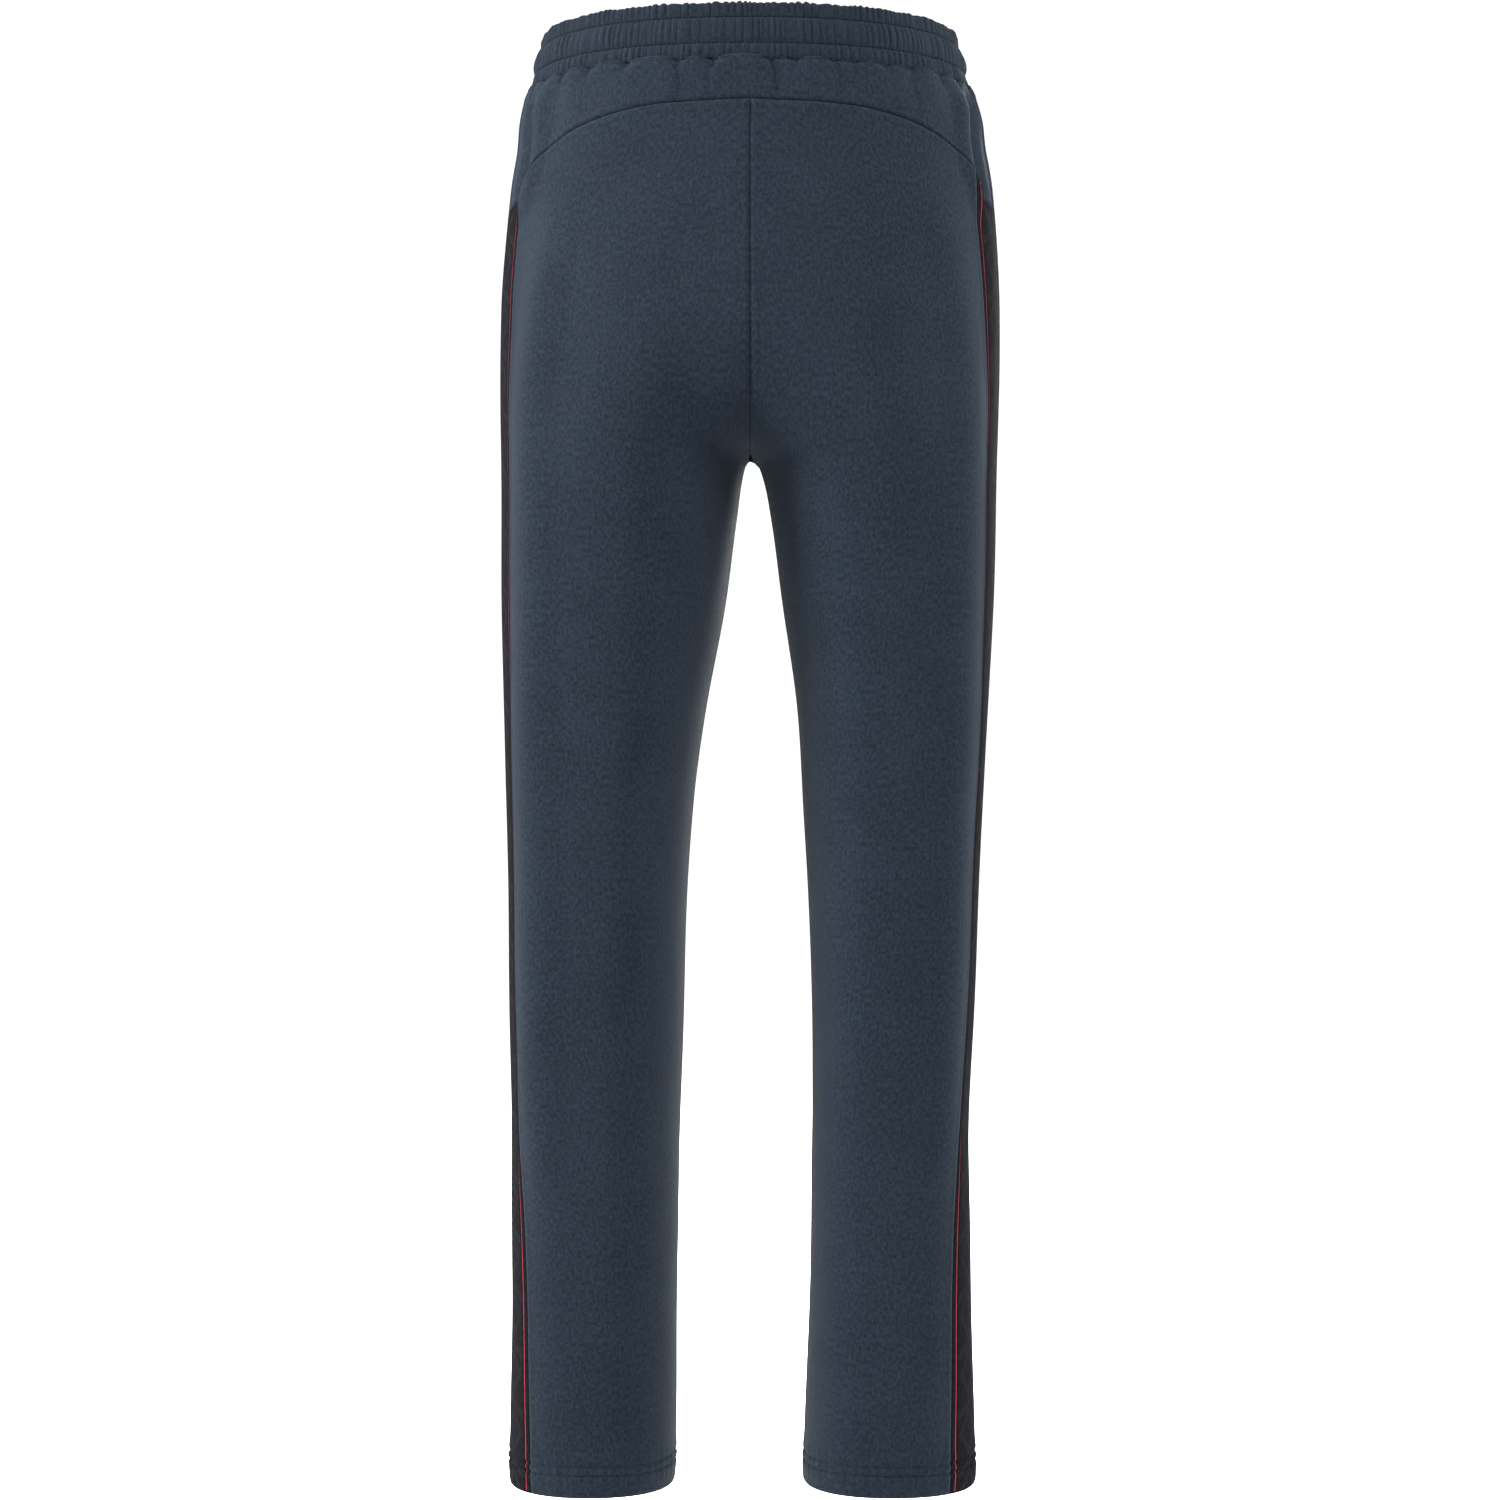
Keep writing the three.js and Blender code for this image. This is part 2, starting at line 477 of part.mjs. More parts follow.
for (const side of SIDES) {
  const { name } = side;
  const back = hemmed(side, {
    start: (z) => tapeBack(side, z) + half,
    end: (z) => backEnd(side, z) - half,
    top: (arc) => yokeSeam(arc) - half,
    bottom: HEM_Z,
    columns: 26,
  });
  addInTwo(`${name}_back_panel`, back, NAVY);

  const belowYoke = (arc) => yokeSeam(arc) - half;
  const tapePiece = { start: (z) => tapeFront(side, z) + half, end: (z) => tapeBack(side, z) - half };
  let tape = hemmed(side, { ...tapePiece, top: belowYoke, bottom: HEM_Z, columns: 6 });
  for (const [edge, sign] of [['front', -1], ['back', 1]]) {
    const middle = (z) => tapeMiddle(side, z) + sign * (TAPE_WIDTH / 2 - STRIPE_INSET - STRIPE_WIDTH / 2);
    const band = (grow) => ({
      start: (z) => middle(z) - STRIPE_WIDTH / 2 - grow,
      end: (z) => middle(z) + STRIPE_WIDTH / 2 + grow,
      columns: 1,
    });
    tape = tape.subtract(clothPiece(side, {
      ...band(SEAM_GAP),
      top: (arc) => belowYoke(arc) + 2,
      bottom: HEM_Z - 2,
      off: 2,
      thick: 2 - STRIPE_PROUD + STRIPE_DEPTH + SEAM_GAP,
    }));
    const stripe = clothPiece(side, {
      ...band(0), top: (arc) => belowYoke(arc) - half, bottom: HEM_Z, off: STRIPE_PROUD, thick: STRIPE_DEPTH,
    });
    addInTwo(`${name}_${edge}_stripe`, stripe, RED);
  }
  addInTwo(`${name}_side_tape`, tape, CHARCOAL);

  ['upper', 'lower'].forEach((row, i) => {
    const top = HEM_Z + HEM_ROWS[i] + THREAD / 2;
    add(`${name}_hem_${row}_stitching`, legRing(side, [
      [FOLD_ROOM + THREAD, top], [FOLD_ROOM + THREAD, top - THREAD],
      [FOLD_ROOM, top - THREAD], [FOLD_ROOM, top],
    ]), NAVY);
  });
}

// ---- Labels ----------------------------------------------------------------------------------------------
const labelOff = liningInside - FOLD_ROOM;
add('size_label', acrossBack({
  start: (side, z) => backEnd(side, z) - SIZE_LABEL[0] / 2,
  top: bandMiddle + SIZE_LABEL[1] / 2,
  bottom: () => bandMiddle - SIZE_LABEL[1] / 2,
  columns: 2,
  down: [0, 1],
  off: labelOff,
  thick: LABEL_THICKNESS,
}), WHITE);
{
  const side = SIDES[0];
  const start = tapeBack(side, -CARE_LABEL_DROP) + 2;
  const top = -CARE_LABEL_DROP;
  add('care_label', clothPiece(side, {
    start: () => start,
    end: () => start + CARE_LABEL[0],
    top: () => top,
    bottom: top - CARE_LABEL[1],
    columns: 3,
    off: -CLOTH - 2 * FOLD_ROOM,
    thick: LABEL_THICKNESS,
  }), WHITE);
}

// ---- Front panels and their zipped pockets -----------------------------------------------------------------
for (const side of SIDES) {
  const { name } = side;
  const top = surfacePoint(side, zipArc(-ZIP_TOP_DROP), -ZIP_TOP_DROP);
  const bottom = surfacePoint(side, zipArc(-ZIP_BOTTOM_DROP), -ZIP_BOTTOM_DROP);
  const along = top.clone().sub(bottom).normalize();
  const middleZ = (top.z + bottom.z) / 2;
  const outward = surfacePoint(side, zipArc(middleZ), middleZ, 1).sub(surfacePoint(side, zipArc(middleZ), middleZ));
  const across = along.clone().cross(outward).normalize();
  outward.crossVectors(across, along);
  // A box in the zip's own frame: across it, along it from the tape's upper end, and out of the cloth.
  const place = new THREE.Matrix4().makeBasis(across, along, outward).setPosition(top);
  const zipBox = (width, [low, high], [inside, outside]) => {
    const box = new THREE.BoxGeometry(width, high - low, outside - inside);
    box.translate(0, (low + high) / 2, (inside + outside) / 2);
    return solidOf(box.applyMatrix4(place));
  };

  const tapeSpan = [-top.distanceTo(bottom), 0];
  const chainSpan = [tapeSpan[0] + ZIP_TAPE_END, -ZIP_TAPE_END];
  const slit = zipBox(ZIP_WINDOW_WIDTH, [chainSpan[0] - ZIP_WINDOW_END, chainSpan[1] + ZIP_WINDOW_END], [-8, 8]);
  const front = hemmed(side, {
    start: (z) => frontEnd(side, z) + half,
    end: (z) => tapeFront(side, z) - half,
    top: () => BAND_SEAM_Z,
    bottom: HEM_Z,
    columns: 15,
    upper: [(ZIP_TOP_DROP + BAND_SEAM_Z) / (BAND_SEAM_Z - LEVEL_Z), 0.5],
  });
  addInTwo(`${name}_front_panel`, front.subtract(slit), NAVY);

  const chainLow = -ZIP_TAPE_SINK + FOLD_ROOM;
  const chainHigh = chainLow + ZIP_CHAIN_HEIGHT;
  add(`${name}_zip_tape`, clothPiece(side, {
    start: (z) => zipArc(z) - ZIP_TAPE_WIDTH / 2,
    end: (z) => zipArc(z) + ZIP_TAPE_WIDTH / 2,
    top: () => -ZIP_TOP_DROP,
    bottom: -ZIP_BOTTOM_DROP,
    columns: 4,
    off: -ZIP_TAPE_SINK,
    thick: ZIP_TAPE_THICKNESS,
  }), BLACK);
  add(`${name}_zip_chain`, zipBox(ZIP_CHAIN_WIDTH, chainSpan, [chainLow, chainHigh]), BLACK);

  // The slider, at the upper end of the chain, where the pocket is shut.
  const sliderTop = chainSpan[1] - 1;
  const sliderMiddle = sliderTop - SLIDER_LENGTH / 2;
  const plateLow = chainHigh + SLIDER_ROOM;
  const plateHigh = plateLow + SLIDER_WALL;
  const ends = [sliderTop - SLIDER_LENGTH, sliderTop];
  const channel = zipBox(ZIP_CHAIN_WIDTH + 2 * SLIDER_ROOM, [ends[0] - 1, ends[1] + 1], [-8, plateLow]);
  const span = (length) => [sliderMiddle - length / 2, sliderMiddle + length / 2];
  const bridge = zipBox(BRIDGE_WIDTH, span(BRIDGE_LENGTH), [plateHigh - 0.2, plateHigh + BRIDGE_HEIGHT]);
  const bridgeHole = zipBox(BRIDGE_WIDTH + 2, span(BRIDGE_HOLE_LENGTH), [plateHigh, plateHigh + BRIDGE_HOLE_HEIGHT]);
  const body = zipBox(SLIDER_WIDTH, ends, [chainLow + FOLD_ROOM, plateHigh]).subtract(channel);
  add(`${name}_zip_slider`, body.add(bridge.subtract(bridgeHole)), DARK_METAL);

  // The puller's pin goes through the bridge and its plate hangs below.
  const pinOut = plateHigh + BRIDGE_HOLE_HEIGHT / 2;
  const depth = [pinOut - PULLER_THICKNESS / 2, pinOut + PULLER_THICKNESS / 2];
  const plate = zipBox(PULLER_WIDTH, [sliderMiddle - PULLER_LENGTH, sliderMiddle + PULLER_THICKNESS / 2], depth);
  const eye = zipBox(PULLER_EYE_WIDTH, [sliderMiddle - PULLER_EYE_LENGTH, sliderMiddle - PULLER_THICKNESS / 2],
    [depth[0] - 1, depth[1] + 1]);
  add(`${name}_zip_puller`, plate.subtract(eye), DARK_METAL);

  const bag = clothPiece(side, {
    start: () => -POCKET_REACH_FRONT,
    end: () => -POCKET_REACH_BACK,
    top: () => BAND_SEAM_Z - 4,
    bottom: -POCKET_BOTTOM_DROP,
    columns: 8,
    off: -POCKET_SINK,
    thick: POCKET_THICKNESS,
  });
  add(`${name}_pocket_bag`, bag.subtract(legSpace(6)), BLACK);
}

export default group;
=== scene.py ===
# %% [markdown]
# # Knitted training trousers
# These trousers are sewn from six pieces of navy double-knit and two dark side tapes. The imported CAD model
# gives their size, their places and their joints. This script dresses that frame with cloth that looks
# sewn, gathered and worn, and it is a lesson in how to do that with Blender's mesh operators.

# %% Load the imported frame
import math

import bmesh
import bpy
import numpy as np
from mathutils import Matrix, Vector


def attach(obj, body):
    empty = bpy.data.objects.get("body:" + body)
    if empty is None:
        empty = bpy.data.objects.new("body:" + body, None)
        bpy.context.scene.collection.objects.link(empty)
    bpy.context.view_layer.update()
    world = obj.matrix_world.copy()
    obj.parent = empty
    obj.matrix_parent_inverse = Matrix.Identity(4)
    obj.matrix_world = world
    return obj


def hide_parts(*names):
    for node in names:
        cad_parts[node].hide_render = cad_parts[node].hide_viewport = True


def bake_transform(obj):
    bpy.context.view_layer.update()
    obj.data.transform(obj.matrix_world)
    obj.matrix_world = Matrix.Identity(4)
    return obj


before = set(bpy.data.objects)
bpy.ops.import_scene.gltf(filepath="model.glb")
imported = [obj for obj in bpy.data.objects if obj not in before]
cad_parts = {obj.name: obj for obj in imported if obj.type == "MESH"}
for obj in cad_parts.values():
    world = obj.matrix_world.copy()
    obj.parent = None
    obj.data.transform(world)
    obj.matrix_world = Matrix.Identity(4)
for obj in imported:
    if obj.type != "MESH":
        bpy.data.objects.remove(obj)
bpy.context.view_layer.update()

# %% [markdown]
# ## Sizes
# The cloth follows the same outline as the CAD model, so the same measured stations are repeated here, in
# millimetres. Each one gives a height below the waistband's top edge and how far the cloth reaches there.

# %% The outline's stations
MM = 0.001
CROTCH, HEM, FALL = -300.0, -1034.0, -120.0
PINCH_POWER, CENTRE_DELAY, SECTION_POWER = 3.0, 1.3, 2.2
OUTER = {
    "left": [(0, 145), (-20, 151), (-39, 154.5), (-68, 163), (-114, 171), (-200, 177), (-320, 177),
             (-460, 176), (-575, 173.5), (-700, 171), (-890, 170), (HEM, 172)],
    "right": [(0, 145), (-20, 151), (-39, 154.5), (-68, 165), (-114, 173), (-200, 177.5), (-320, 175.5),
              (-460, 171), (-575, 164.5), (-700, 159.5), (-800, 156.5), (-890, 157.5), (HEM, 161)],
}
INNER = {
    "left": [(CROTCH, 0), (CROTCH - 5, 4), (-344, 10.5), (-402, 19), (-488, 34.5), (-546, 42), (-604, 45.5),
             (-720, 50), (-835, 53), (HEM, 55)],
    "right": [(CROTCH, 0), (CROTCH - 5, 7), (-344, 16.5), (-402, 25), (-488, 36), (-546, 40), (-604, 43),
              (-720, 46), (-835, 46), (-949, 42.5), (HEM, 39.5)],
}
FRONT = [(0, 103), (-39, 107), (-100, 113), (-180, 117), (-260, 113), (-320, 107), (-402, 97), (-500, 86),
         (-600, 77), (-760, 66), (-900, 58.5), (HEM, 54.5)]
BACK = [(0, 110), (-39, 114), (-100, 122), (-200, 131), (-260, 127), (-320, 116), (-402, 103), (-500, 90),
        (-600, 82), (-760, 72), (-900, 62.5), (HEM, 56)]
TAPE = {
    "left": [(-150, 33), (-220, 38), (-300, 39), (-400, 34), (-500, 28), (-600, 24), (-900, 24), (HEM, 26)],
    "right": [(-150, 43), (-230, 46), (-310, 46), (-420, 37), (-520, 28), (-650, 26), (-900, 28), (HEM, 29)],
}
YOKE_SEAM = [(228, -68), (162, -70.5), (120, -77), (92, -86), (76, -95), (64, -106), (52, -116), (38, -122),
             (15, -127), (-24, -132)]
SIGN = {"left": 1, "right": -1}
BAND_SEAM = -39.2
STITCH_ROWS = (-10.0, -28.0)
HEM_ROWS = {"upper": 21.0, "lower": 15.0}
TAPE_HALF = 21.0
HALF_ROUND = 420.0

# %% [markdown]
# ## The shape of the cloth
# The real trousers are flat pieces of cloth that a body fills out. They could be draped with a simulation,
# but the waist and the legs are known well, so it is steadier to describe the filled shape by its level
# sections and to lay each piece on it. A section is an oval, a little squarer than an ellipse. Above the
# crotch the two ovals run into each other at the centre seams, and below it each leg has its own.

# %% A smooth line through stations
def smooth_line(stations, at):
    """A line through (position, value) stations that never overshoots them."""
    rows = np.array(sorted(stations), float)
    h, v = rows[:, 0], rows[:, 1]
    slope = np.diff(v) / np.diff(h)
    tangent = np.zeros_like(v)
    tangent[0], tangent[-1] = slope[0], slope[-1]
    product = slope[:-1] * slope[1:]
    safe = np.where(product > 0, slope[:-1] + slope[1:], 1)
    tangent[1:-1] = np.where(product > 0, 2 * product / safe, 0)
    at = np.clip(np.asarray(at, float), h[0], h[-1])
    i = np.clip(np.searchsorted(h, at) - 1, 0, len(slope) - 1)
    width = h[i + 1] - h[i]
    t = (at - h[i]) / width
    return (v[i] * (1 + 2 * t) * (1 - t) ** 2 + v[i + 1] * t * t * (3 - 2 * t)
            + tangent[i] * width * t * (1 - t) ** 2 - tangent[i + 1] * width * t * t * (1 - t))


def ease(t):
    t = np.clip(t, 0, 1)
    return t * t * (3 - 2 * t)


def hump(x, middle, width):
    """A smooth rise to 1 at the middle and back to 0 at width to each side."""
    return ease(1 - np.abs(x - middle) / width)


# %% One side's level sections
def section(side, z):
    """The oval's centre, its reach outwards, inwards, forwards and back, and how closed its inner side is."""
    z = np.asarray(z, float)
    outer = smooth_line(OUTER[side], z)
    front, back = smooth_line(FRONT, z), smooth_line(BACK, z)
    fall = np.clip((FALL - z) / (FALL - CROTCH), 0, 1)
    seat_centre = outer / 2 * ease(fall ** CENTRE_DELAY)
    pinch = np.where(z < CROTCH, 1, fall ** PINCH_POWER)
    leg_inner = smooth_line(INNER[side], z)
    centre = np.where(z < CROTCH, (outer + leg_inner) / 2, seat_centre)
    inner = np.where(z < CROTCH, centre - leg_inner, seat_centre / np.maximum(pinch, 1e-6))
    return centre, outer - centre, inner, front, back, pinch


def trace_sections(side, steps=90, half=160):
    """Points round each section, evenly spaced to the front and to the back of the side line."""
    z = np.unique(np.concatenate([
        np.linspace(HEM, 0, 518), np.linspace(CROTCH - 8, CROTCH + 12, 81), [CROTCH - 1e-3]]))
    centre, outer, inner, front, back, pinch = (a[:, None] for a in section(side, z))
    t = np.linspace(0, 1, steps + 1)[None, :]
    power = 2 / SECTION_POWER
    inwards = np.arcsin(np.clip(pinch ** (SECTION_POWER / 2), 0, 1))
    wide, narrow = np.sin(t * np.pi / 2) ** power, np.clip(np.cos(t * np.pi / 2), 0, 1) ** power
    turned, level = np.sin(t * inwards) ** power, np.clip(np.cos(t * inwards), 0, 1) ** power
    x = np.hstack([centre - inner * turned[:, ::-1], (centre + outer * wide)[:, 1:],
                   (centre + outer * wide)[:, -2::-1], (centre - inner * turned)[:, 1:]])
    y = np.hstack([-front * level[:, ::-1], (-front * narrow)[:, 1:], (back * narrow)[:, -2::-1],
                   (back * level)[:, 1:]])
    walked = np.cumsum(np.hypot(np.diff(x, axis=1), np.diff(y, axis=1)), axis=1)
    arc = np.hstack([np.zeros((len(z), 1)), walked])
    arc -= arc[:, 2 * steps][:, None]
    share = np.linspace(-1, 1, 2 * half + 1)
    places = np.where(share[None, :] < 0, -share[None, :] * arc[:, :1], share[None, :] * arc[:, -1:])
    xs = np.array([np.interp(p, a, v) for p, a, v in zip(places, arc, x)])
    ys = np.array([np.interp(p, a, v) for p, a, v in zip(places, arc, y)])
    return {"z": z, "x": xs, "y": ys, "front": arc[:, 0], "back": arc[:, -1], "half": half}


SECTIONS = {side: trace_sections(side) for side in SIGN}
front_end = lambda side, z: np.interp(z, SECTIONS[side]["z"], SECTIONS[side]["front"])
back_end = lambda side, z: np.interp(z, SECTIONS[side]["z"], SECTIONS[side]["back"])
print("half the waist is", round(float(back_end("left", 0.0) - front_end("left", 0.0))), "mm round")


# %% From an arc and a height to a point on the cloth
def plain_point(side, arc, z):
    """x and y on one side's sections, where arc runs backwards from the side line."""
    s = SECTIONS[side]
    j = np.clip(np.searchsorted(s["z"], z) - 1, 0, len(s["z"]) - 2)
    t = np.clip((z - s["z"][j]) / (s["z"][j + 1] - s["z"][j]), 0, 1)
    front = s["front"][j] * (1 - t) + s["front"][j + 1] * t
    back = s["back"][j] * (1 - t) + s["back"][j + 1] * t
    k = (np.clip(np.where(arc < 0, -arc / front, arc / back), -1, 1) + 1) * s["half"]
    i = np.clip(k.astype(int), 0, 2 * s["half"] - 1)
    u = k - i

    def between(table):
        below = table[j, i] * (1 - u) + table[j, i + 1] * u
        above = table[j + 1, i] * (1 - u) + table[j + 1, i + 1] * u
        return below * (1 - t) + above * t

    return between(s["x"]), between(s["y"])


def outward(side, x, y, z):
    """The way out of the cloth, from the slope of the section's own equation."""
    def level(height):
        centre, outer, inner, front, back, _ = section(side, height)
        reach_x = np.where(x < centre, np.maximum(inner, 1e-3), outer)
        reach_y = np.where(y < 0, front, back)
        return (x - centre) / reach_x, y / reach_y, reach_x, reach_y

    across, along, reach_x, reach_y = level(z)
    size = lambda a, b: np.abs(a) ** SECTION_POWER + np.abs(b) ** SECTION_POWER
    above, below = level(z + 0.5), level(z - 0.5)
    slope = lambda d, reach: np.sign(d) * SECTION_POWER * np.abs(d) ** (SECTION_POWER - 1) / reach
    n = np.stack([slope(across, reach_x), slope(along, reach_y),
                  size(above[0], above[1]) - size(below[0], below[1])], axis=-1)
    return n / np.linalg.norm(n, axis=-1, keepdims=True)


# %% [markdown]
# ## The zip line
# Each side pocket closes with a zip. A zip won't stretch, so it draws the cloth straight between its two
# ends. The cloth next to it is pulled onto that line and eases back into its own curve further away.

# %% Pull the cloth straight along each zip
ZIP_TOP, ZIP_BOTTOM = -56.0, -210.0
ZIP_ARCS = (-78.0, -77.0)


def zip_pull(side, arc, z):
    share = np.clip((ZIP_TOP - z) / (ZIP_TOP - ZIP_BOTTOM), 0, 1)
    line = ZIP_ARCS[0] + (ZIP_ARCS[1] - ZIP_ARCS[0]) * share
    ends = [np.array([*plain_point(side, np.array([a]), np.array([h]))]).ravel()
            for a, h in zip(ZIP_ARCS, (ZIP_TOP, ZIP_BOTTOM))]
    x, y = plain_point(side, line, z)
    near = (1 - ease((np.abs(arc - line) - 12) / 33)) * (z < ZIP_TOP) * (z > ZIP_BOTTOM)
    return (ends[0][0] + (ends[1][0] - ends[0][0]) * share - x) * near, \
        (ends[0][1] + (ends[1][1] - ends[0][1]) * share - y) * near


# %% [markdown]
# ## Folds
# Gathering the wide hips into a narrow elastic throws the cloth below the seam into rounded lobes, and a
# soft fold runs down from each dip between them. These folds could come out of a cloth simulation too, but
# each of them has a known place here, so every one is written down as a smooth hump or hollow that pushes
# the cloth out or in.

# %% The lobes under the waistband
# Dips between the lobes, as arcs from the centre back, the wearer's left positive, and their depths.
DIPS = [(-420, 1.0), (-392, .7), (-365, .9), (-334, .7), (-305, 1.0), (-272, .8), (-246, .6), (-214, .9),
        (-186, .8), (-163, .9), (-140, 1.0), (-113, .7), (-93, .9), (-70, .8), (-56, .6), (-31, .8),
        (-14, 1.0), (24, .9), (48, 1.0), (83, .7), (112, .8), (138, 1.0), (160, .9), (182, .8), (210, .7),
        (238, .9), (262, .8), (290, 1.0), (322, .7), (351, .9), (380, .8), (402, .7), (420, 1.0)]


def around(side, arc, z):
    """The arc from the centre back, positive to the wearer's left and HALF_ROUND at the centre front."""
    back, front = back_end(side, z), front_end(side, z)
    return SIGN[side] * (back - arc) / (back - front) * HALF_ROUND


def crowns(side, arc, z):
    """How near each place is to the crown of its lobe, from 0 in a dip to 1, and the lobe's size."""
    at = around(side, arc, z)
    places = np.array([d[0] for d in DIPS], float)
    depths = np.array([d[1] for d in DIPS], float)
    i = np.clip(np.searchsorted(places, at) - 1, 0, len(places) - 2)
    width = places[i + 1] - places[i]
    t = np.clip((at - places[i]) / width, 0, 1)
    floor = 0.9 * (1 - (depths[i] * (1 - t) + depths[i + 1] * t))
    crown = floor + (1 - floor) * np.clip(4 * t * (1 - t), 0, 1) ** 0.6
    return crown, np.clip(width / 30, 0.6, 1.15)


def lobe_top(side, arc):
    """The height of the panel's gathered upper edge, which swells up over the waistband at each crown."""
    crown, tall = crowns(side, arc, BAND_SEAM + 0 * arc)
    return BAND_SEAM - 1.2 + 3.6 * crown * tall


def lobes(side, arc, z):
    """How far the lobes swell out: full and separate at the seam, evening out below it."""
    crown, tall = crowns(side, arc, z)
    below = lobe_top(side, arc) - z
    swell = np.clip(below / 7, 0, 1) ** 0.5 * (1 - ease((below - 8) / 42))
    even_out = ease((below - 1.5) / 11)
    return (0.8 + 5.4 * tall * (crown + (0.7 - crown) * even_out)) * swell * (below > 0)


# %% Folds further down
# The folds that run down from the deepest dips: the arc round the waist, the depth and where each one ends.
RUNS = ((138, 2.0, -108), (-140, 1.2, -100), (-14, 2.2, -82), (48, 0.8, -80), (112, 0.8, -84),
        (-113, 1.0, -88), (290, 2.6, -150), (-305, 2.6, -140), (402, 1.8, -120))
# Long lines down the cloth, as heights and arcs back from the side line.
HIP_LINE = [(-45, 54), (-70, 62), (-100, 67), (-120, 61), (-160, 54), (-240, 48)]
SWELL_LINE = [(-130, 98), (-300, 93), (-500, 74), (-800, 60)]
FLAT_LINE = [(-160, 146), (-340, 132), (-600, 104), (-900, 80)]
HIP_STRENGTH = {"left": 0.9, "right": 1.0}
SWELL = {"left": 5.4, "right": 3.6}


def ridge(arc, z, line, width, height, top, bottom, soft):
    """A long soft fold: its middle follows line, an arc for each height, between top and bottom."""
    fade = ease((top - z) / soft) * ease((z - bottom) / soft)
    return height * hump(arc, smooth_line(line, z), width) * fade


def hem_relief(arc, z):
    """The turned-up hem: a dent along each row of stitches and small puckers between them."""
    up = z - HEM
    rows = sum(hump(up, height, 2.6) for height in HEM_ROWS.values())
    pucker = np.sin(arc * 0.61 + 0.8 * np.sin(arc * 0.17)) * np.sin(arc * 0.23 + 1)
    return (0.45 * pucker + 0.8) * hump(up, 17, 18) - 1.2 * rows


def folds(side, arc, z):
    """How far the cloth stands off the plain shape, in millimetres. It lies flat beside the zip."""
    away = np.abs(arc - ZIP_ARCS[0])
    beside_zip = (1 - ease((away - 13) / 20)) * ease((-44 - z) / 8) * ease((z + 226) / 12)
    return loose_folds(side, arc, z) * (1 - beside_zip) + hem_relief(arc, z)


def loose_folds(side, arc, z):
    x, y = plain_point(side, arc, z)
    x = x * SIGN[side]
    out = lobes(side, arc, z)
    # The soft edge at the hip, where the back rolls over a hollow in front of it.
    strength = HIP_STRENGTH[side]
    in_front = [(height, back - 18) for height, back in HIP_LINE]
    out = out + ridge(arc, z, HIP_LINE, 15, 3.4 * strength, -40, -146, 24)
    out = out - ridge(arc, z, in_front, 15, 6.0 * strength, -40, -134, 20)
    # Each run leans a little as it goes down, and fades out.
    at = around(side, arc, z)
    lean = (z + 40) * 0.05
    below = BAND_SEAM - z
    for dip, depth, end in RUNS:
        fade = 1 - ease(below / (BAND_SEAM - end))
        out = out - depth * hump(at, dip + lean, 13) * ease(below / 12) * fade
    # The long swell down the outer back of the leg, and a flatter run beside it.
    out = out + ridge(arc, z, SWELL_LINE, 31, SWELL[side], -100, -860, 110)
    out = out - ridge(arc, z, FLAT_LINE, 42, 2.4, -130, -980, 140)
    # The cloth hangs hollow under the seat, on each side of the centre seam.
    out = out - 3.6 * hump(x, 38, 38) * ease(y / 45) * hump(z, -275, 80)
    # Slow unevenness of hanging cloth.
    wave = np.sin(0.021 * z + 0.013 * x + 1.3) * np.sin(0.027 * x + 0.6 + 0.006 * z)
    wave = wave + np.sin(0.043 * z - 0.02 * y) * 0.4
    calm = ease(below / 60)
    return out + 0.55 * wave * calm


def cloth_points(side, arc, z, out=0.0, folded=True):
    """Points of the cloth in metres. out is the stand-off in millimetres from the folded surface."""
    arc, z = np.broadcast_arrays(np.asarray(arc, float), np.asarray(z, float))
    x, y = plain_point(side, arc, z)
    n = outward(side, x, y, z)
    pull = zip_pull(side, arc, z)
    stand = np.asarray(out, float) + (folds(side, arc, z) if folded else 0.0)
    p = np.stack([x + pull[0], y + pull[1], z], axis=-1) + n * stand[..., None]
    p[..., 0] = np.maximum(p[..., 0], 0.02) * SIGN[side]
    return p * MM


# %% [markdown]
# ## Cutting and sewing
# A sewn edge isn't a cut edge: the cloth rolls round and dives into the seam. So every piece starts as a
# flat grid, and the grid's outer columns and rows are kept for that roll. The rest are spread over the
# piece. The grid is then laid on the shape, and Solidify gives it the thickness of the knit.

# %% Rolled edges
# Each step is a distance in from the edge and a stand-off. The hem has close rows outside for its stitches,
# then its fold, then the cloth that is turned up inside.
CLOTH = 1.1
SEAM_ROLL = [(0.0, -3.4), (0.0, -2.2), (0.2, -1.5), (0.65, -0.85), (1.3, -0.25), (2.2, 0.25), (3.6, 0.42),
             (5.6, 0.0)]
HEM_TURN = [(float(up), 0.0) for up in np.linspace(22.6, 2.6, 30)] + [
    (1.6, 0.0), (0.7, -0.16), (0.16, -0.6), (0.0, -1.25), (0.16, -1.9), (0.7, -2.34), (1.6, -2.5),
    (5.0, -2.5), (11.0, -2.5), (17.0, -2.5), (23.0, -2.5)]


def spread(rolled_in, middle, rolled_out):
    """Positions along a piece as (edge, distance from it or share between, stand-off)."""
    steps = [("start", d, o) for d, o in rolled_in]
    steps += [("middle", share, 0.0) for share in middle]
    steps += [("end", d, o) for d, o in rolled_out]
    return steps


def even(count, rolled_in=SEAM_ROLL, rolled_out=SEAM_ROLL):
    return spread(rolled_in, np.linspace(0, 1, count + 2)[1:-1], rolled_out[::-1])


